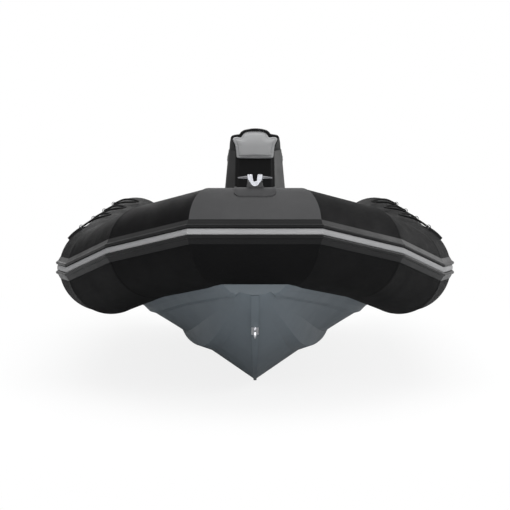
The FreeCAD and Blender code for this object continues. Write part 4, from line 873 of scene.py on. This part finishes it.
# The front pad's outline from its middle outwards: half width and height in metres
PAD_OUTLINE = [(0.0, 1.0362), (0.0140, 1.0360), (0.0270, 1.0350), (0.0430, 1.0318), (0.0550, 1.0250),
               (0.0625, 1.0150), (0.0665, 1.0065), (0.0705, 1.0035), (0.0760, 1.0050), (0.0880, 1.0070),
               (0.1000, 1.0062), (0.1085, 1.0010), (0.1105, 0.9950), (0.1065, 0.9870), (0.1005, 0.9760),
               (0.0955, 0.9620), (0.0925, 0.9400), (0.0905, 0.9150), (0.0898, 0.9080), (0.0860, 0.9040),
               (0.0800, 0.9030), (0.0400, 0.9028)]
PAD_FRONT = -0.5150
PAD_BACK = -0.4926
PAD_SEAM_INSET = 0.0095
PAD_LEAN_START, PAD_LEAN_HEIGHT, PAD_LEAN = 0.96, 0.075, 0.014
PAD_STITCH_TOP = 0.985


def front_pad():
    """The upholstered pad on the console's front, with its arched top and its seam inside the edge."""
    right = [Vector((x, z)) for x, z in PAD_OUTLINE]
    outline = right + [Vector((-p.x, p.y)) for p in reversed(right[1:])]
    mesh = bmesh.new()
    front = [mesh.verts.new((p.x, PAD_FRONT, p.y)) for p in outline]
    back = [mesh.verts.new((p.x, PAD_BACK, p.y)) for p in outline]
    count = len(outline)
    face = mesh.faces.new(front)
    mesh.faces.new(back[::-1])
    for k in range(count):
        after = (k + 1) % count
        mesh.faces.new((front[k], front[after], back[after], back[k]))
    bmesh.ops.recalc_face_normals(mesh, faces=mesh.faces[:])
    bmesh.ops.bevel(mesh, geom=list(face.edges), offset=0.0055, segments=4, affect="EDGES", profile=0.5)
    bmesh.ops.triangulate(mesh, faces=mesh.faces[:])
    data = bpy.data.meshes.new("console_front_pad")
    mesh.to_mesh(data)
    mesh.free()
    pad = add_object("console_front_pad", data)
    inflate(pad, 0.0032, lambda p: p.y > PAD_BACK - 0.010, 3.0, 0.0035)
    edges = [(outline[k], outline[(k + 1) % count]) for k in range(count)]

    def inside(here):
        """How far a point lies from the outline."""
        best = 1.0
        for one, two in edges:
            run = two - one
            share = ease((here - one).dot(run) / run.length_squared)
            best = min(best, (here - one - run * share).length)
        return best

    for vertex in pad.data.vertices:
        p = vertex.co
        if p.y < PAD_FRONT + 0.010:
            p.y += PAD_LEAN * ease((p.z - PAD_LEAN_START) / PAD_LEAN_HEIGHT) ** 2
            p.y -= groove(inside(Vector((p.x, p.z))) - PAD_SEAM_INSET, 0.0022, 0.0022)
    dress(pad, "boat", LOOKS["panel_light"], "console_panel")
    skin = surface_of(pad.name)
    threads = Form()
    inner = []
    for k in range(count):
        one, here, two = outline[k - 1], outline[k], outline[(k + 1) % count]
        run = (two - one).normalized()
        inner.append(here + Vector((run.y, -run.x)) * (PAD_SEAM_INSET + 0.0035))
    inner = [p for p in inner if p.y < PAD_STITCH_TOP]
    for side in (1.0, -1.0):
        half = sorted((p for p in inner if p.x * side > 0.0), key=lambda p: -p.y)
        walk = []
        for one, two in zip(half, half[1:]):
            steps = max(1, int((two - one).length / 0.0022))
            walk += [one.lerp(two, k / steps) for k in range(steps)]
        stitch_row(threads, skin, [Vector((p.x, PAD_FRONT, p.y)) for p in walk], AFT)
    low_z = min(p.y for p in inner)
    stitch_row(threads, skin, [Vector((x * MILLIMETRE, PAD_FRONT, low_z)) for x in range(-38, 39, 2)], AFT)
    threads.done("front_pad_stitching", "boat", DARK_THREAD, "panel_light")


# Three points of the plane that cuts the cowl's corner, on the side of positive X
COWL_CUT = ((0.0930, -0.4920, 0.9400), (0.1140, -0.4920, 0.9990), (0.1305, -0.3920, 0.9400))


def console_cowl():
    """The cowl with its front corners cut back beside the pad, as the console below it is."""
    cowl = copy_of("console_cowl", "console_cowl_moulding")
    mesh = bmesh.new()
    mesh.from_mesh(cowl.data)
    bmesh.ops.remove_doubles(mesh, verts=mesh.verts[:], dist=1e-5)
    bmesh.ops.dissolve_limit(mesh, angle_limit=math.radians(0.8), verts=mesh.verts[:], edges=mesh.edges[:])
    for sign in (1.0, -1.0):
        one, two, three = (Vector((x * sign, y, z)) for x, y, z in COWL_CUT)
        out = (two - one).cross(three - one).normalized()
        if out.x * sign < 0.0:
            out = -out
        cut = bmesh.ops.bisect_plane(mesh, geom=mesh.verts[:] + mesh.edges[:] + mesh.faces[:], dist=1e-6,
                                     plane_co=one, plane_no=out, clear_outer=True)
        rim = [edge for edge in cut["geom_cut"] if isinstance(edge, bmesh.types.BMEdge)]
        bmesh.ops.contextual_create(mesh, geom=rim)
    bmesh.ops.recalc_face_normals(mesh, faces=mesh.faces[:])
    mesh.to_mesh(cowl.data)
    mesh.free()
    soften = cowl.modifiers.new("soften", "BEVEL")
    soften.width = 0.0022
    soften.segments = 3
    soften.limit_method = "ANGLE"
    soften.angle_limit = math.radians(25.0)
    apply_modifiers(cowl)
    cowl.data.shade_smooth()
    cowl.data.set_sharp_from_angle(angle=math.radians(35.0))
    cowl.data.materials.append(LOOKS["moulded_black"])
    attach(cowl, "boat")
    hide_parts("console_cowl")


# Deck fittings
BEAD_LEVEL, BEAD_RADIUS, BEAD_REACH = 0.0915, 0.0035, 0.6
FOOT_TOP = 0.0925
FLANGE_SCREW, PAD_BOLT, POST_SCREW, EYE_BOLT, BOW_EYE_SCREW = 0.0045, 0.0065, 0.0036, 0.0036, 0.0030
CONSOLE_SCREWS = (-0.38, -0.26, -0.14)
CONSOLE_SCREW_UP = 0.115
STERN_BOLTS = [(x, z) for x in (-0.400, 0.400) for z in (0.2125, 0.2575)]
ASIDE = 0.4


def bead_round(form, node, middle_y):
    """A bead of sealant round a moulding's foot."""
    skin = surface_of(node)
    centre = Vector((0.0, middle_y, BEAD_LEVEL))
    points = []
    for a in turns(140):
        out = Vector((math.cos(a), math.sin(a), 0.0))
        place = skin.ray_cast(centre + out * BEAD_REACH, -out, BEAD_REACH)[0]
        if place is not None:
            points.append(place + out * (BEAD_RADIUS * 0.3))
    form.rod([Vector((p.x, p.y, BEAD_LEVEL)) for p in points], BEAD_RADIUS, looped=True)


def fasten(put, radius, skin, start, way, fits=None):
    """Put a screw or bolt where a ray meets the skin, square to the surface there."""
    hit, normal = skin.ray_cast(Vector(start), Vector(way), 0.4)[:2]
    if hit is not None and (fits is None or fits(hit, normal)):
        put(frame_at(hit, normal), radius)


def fitting_screws():
    """The screws and bolts of the seat, console, motor pads, posts, stern eyes and bow eye."""
    screws = Form()
    low, high = corners_of("seat_base")
    seat, console = surface_of("seat_base"), surface_of("console")
    for sign in (-1.0, 1.0):
        for y in (low.y + 0.06, (low.y + high.y) / 2.0, high.y - 0.06):
            fasten(screws.screw, FLANGE_SCREW, seat, (sign * ASIDE, y, low.z + 0.025), ACROSS * -sign)
    for sign in (-1.0, 1.0):
        for y in CONSOLE_SCREWS:
            fasten(screws.screw, FLANGE_SCREW, console, (sign * ASIDE, y, CONSOLE_SCREW_UP), ACROSS * -sign)
    for node, way in (("motor_pad_outer", AFT), ("motor_pad_inner", FORWARD)):
        low, high = corners_of(node)
        face = high.y if way.y > 0.0 else low.y
        for x in (low.x + 0.02, high.x - 0.02):
            for z in (low.z + 0.025, high.z - 0.025):
                screws.bolt(frame_at((x, face, z), way), PAD_BOLT)
    posts = surface_of("backrest_posts")
    feet = [v.co for v in nodes["backrest_posts"].data.vertices if v.co.z < FOOT_TOP]
    for sign in (-1.0, 1.0):
        near = [p for p in feet if p.x * sign > 0.0]
        middle = sum(near, Vector()) / len(near)
        reach = max((p - middle).length for p in near) * 0.74
        for degrees in (30.0, 150.0, 270.0):
            a = math.radians(degrees)
            above = middle + Vector((reach * math.cos(a), reach * math.sin(a), 0.05))
            fasten(screws.screw, POST_SCREW, posts, above, DOWN)
    eyes = surface_of("stern_eyes")
    for x, z in STERN_BOLTS:
        fasten(screws.bolt, EYE_BOLT, eyes, (x, 1.8, z), FORWARD, lambda hit, normal: normal.y > 0.95)
    eye = surface_of("bow_eye")
    low, high = corners_of("bow_eye")
    for z in (low.z + 0.007, high.z - 0.007):
        fasten(screws.screw, BOW_EYE_SCREW, eye, (0.0, low.y - 0.2, z), AFT,
               lambda hit, normal: hit.y > low.y + 0.02)
    screws.done("fitting_screws", "boat", LOOKS["stainless"], "stainless")


def deck_fittings():
    """Sealant at the feet of console and seat, every fitting's screws, and the console's hatch."""
    sealant = Form()
    bead_round(sealant, "console", -0.32)
    bead_round(sealant, "seat_base", 0.49)
    sealant.done("base_sealant", "boat", LOOKS["rubber_black"], "rubber_black")
    fitting_screws()
    skin = surface_of("console")
    hatch, latch = Form(), Form()
    middle, normal = skin.ray_cast(Vector((0.0, 0.4, 0.36)), FORWARD, 0.8)[:2]
    seat = frame_at(middle, normal)
    hatch.block(shifted(seat, 0.0, 0.0, 0.0015), (0.250, 0.300, 0.009), 0.004)
    hatch.block(shifted(seat, 0.0, 0.0, 0.0050), (0.216, 0.266, 0.008), 0.0035)
    hatch.done("console_hatch", "boat", LOOKS["plastic_black"], "moulded_black")
    lock = shifted(seat, 0.0, 0.1, 0.009)
    latch.lathe(lock, [(0.017, -SUNK), (0.017, 0.0015), (0.0155, 0.003), (0.013, 0.003),
                       (0.012, 0.0015)], 40)
    latch.block(shifted(lock, 0.0, 0.0, 0.004), (0.020, 0.0045, 0.006), 0.0015)
    latch.done("console_hatch_latch", "boat", LOOKS["stainless"], "stainless")


def lid_fittings():
    """The locker lid's flush pull and the seat lid's catch."""
    high = corners_of("bow_locker_lid")[1]
    pull = Form()
    seat = frame_at((0.0, high.y - 0.055, high.z), UP)
    pull.lathe(seat, [(0.031, -SUNK), (0.031, 0.0012), (0.0295, 0.0024), (0.026, 0.0024),
                      (0.0245, 0.0004)], 56)
    ring = 0.0205
    hoop = [seat @ Vector((ring * math.cos(a), ring * math.sin(a), 0.0022)) for a in turns(40)]
    pull.rod(hoop, 0.0019, looped=True)
    pull.block(shifted(seat, 0.0, -ring, 0.0018), (0.014, 0.006, 0.0046), 0.0014)
    pull.done("locker_lid_pull", "locker_lid", LOOKS["stainless"], "stainless")
    low, high = corners_of("seat_lid")
    catch = Form()
    skin = surface_of("seat_lid")
    place, normal = skin.ray_cast(Vector((0.3, 0.5, (low.z + high.z) / 2.0)), -ACROSS, 0.3)[:2]
    if place is not None:
        seat = frame_at(place, normal, AFT)
        catch.block(shifted(seat, 0.0, -0.002, 0.001), (0.036, 0.011, 0.004), 0.0013)
        staple = ((-0.010, -0.004, 0.002), (-0.010, -0.005, 0.007),
                  (0.010, -0.005, 0.007), (0.010, -0.004, 0.002))
        catch.rod([seat @ Vector(p) for p in staple], 0.0014)
        catch.done("seat_lid_catch", "seat", LOOKS["stainless"], "stainless")


def valve_caps():
    """A knurled cap on each inflation valve."""
    caps = Form()
    points = [v.co for v in nodes["inflation_valves"].data.vertices]
    lengths = ((-2.0, -0.5, *TUBE_LINE[2:4]), (0.0, 1.0, *TUBE_LINE[4:6]))
    for sign in (-1.0, 1.0):
        for low, high, one, two in lengths:
            near = [p for p in points if p.x * sign > 0.0 and low < p.y < high]
            first = Vector((one.x * sign, one.y, one.z))
            run = (Vector((two.x * sign, two.y, two.z)) - first).normalized()
            offset = sum(near, Vector()) / len(near) - first
            out = (offset - run * offset.dot(run)).normalized()
            top = max((p - first).dot(out) for p in near)
            crown = [p for p in near if (p - first).dot(out) > top - 0.0015]
            middle = sum(crown, Vector()) / len(crown)
            reach = max((p - middle).length for p in crown)
            seat = frame_at(middle, out, run)
            profile = ((0.80, -0.002), (0.80, 0.0035), (0.74, 0.0050),
                       (0.50, 0.0052), (0.44, 0.0042), (0.10, 0.0040))
            caps.lathe(seat, [(reach * share, height) for share, height in profile], 96, 16, 0.0014)
            caps.block(shifted(seat, 0.0, 0.0, 0.0048), (reach * 0.62, 0.0035, 0.0035), 0.0010, 2)
    caps.done("valve_caps", "boat", LOOKS["rubber_black"], "rubber_black", 30.0)


LEVER_PIVOT, LEVER_LOW = 0.612, 0.600


def throttle_trim():
    """The control box's cover plate with its screws, and the lever's boss."""
    low, high = corners_of("throttle_box")
    middle = Vector((low.x, (low.y + high.y) / 2.0, (low.z + high.z) / 2.0))
    face = frame_at(middle, -ACROSS, AFT)
    plate, boss, screws = Form(), Form(), Form()
    wide, tall = high.y - low.y, high.z - low.z
    plate.block(face, (wide - 0.006, tall - 0.006, 0.006), 0.0026)
    inset = 0.012
    for y in (-1.0, 1.0):
        for z in (-1.0, 1.0):
            screws.screw(shifted(face, y * (wide / 2.0 - inset), z * (tall / 2.0 - inset), 0.003), 0.0034)
    pivot = [v.co for v in nodes["throttle_lever"].data.vertices if v.co.z < LEVER_LOW]
    seat = frame_at((low.x, sum(p.y for p in pivot) / len(pivot), LEVER_PIVOT), -ACROSS, AFT)
    boss.lathe(seat, [(0.0300, 0.001), (0.0300, 0.0045), (0.0285, 0.0060), (0.0255, 0.0064)], 56)
    plate.done("throttle_cover", "boat", LOOKS["plastic_black"], "plastic_black")
    boss.done("throttle_boss", "boat", LOOKS["rubber_black"], "plastic_black")
    screws.done("throttle_screws", "boat", LOOKS["stainless"], "stainless")


tube_seams()
valve_caps()
throttle_trim()
gauges()
dash_controls()
wheel_trim()
console_cowl()
front_pad()
seat_cushion()
backrest()
deck_fittings()
lid_fittings()

# Studio
bpy.context.scene.view_settings.view_transform = "Standard"
add_camera()
add_world()
add_floor()
# Name, place, aim, size in metres and power in watts
LAMPS = (
    ("top", (0.0, -0.6, 6.5), (0.0, -0.2, 0.0), (7.0, 8.0), 480.0),
    ("key", (4.6, -6.0, 3.2), (0.0, -0.8, 0.5), (3.0, 3.0), 135.0),
    ("fill", (-4.5, -6.5, 2.6), (0.0, -0.6, 0.4), (3.5, 3.0), 50.0),
    ("low", (0.0, -6.0, 0.10), (0.0, -1.2, 0.05), (5.0, 0.5), 75.0),
    ("side", (6.0, 3.5, 2.2), (0.0, 0.0, 0.7), (3.0, 3.0), 160.0),
    ("back", (-2.0, 7.5, 3.5), (0.0, 0.5, 0.4), (4.0, 3.0), 90.0),
)
for lamp in LAMPS:
    add_area_light(*lamp)
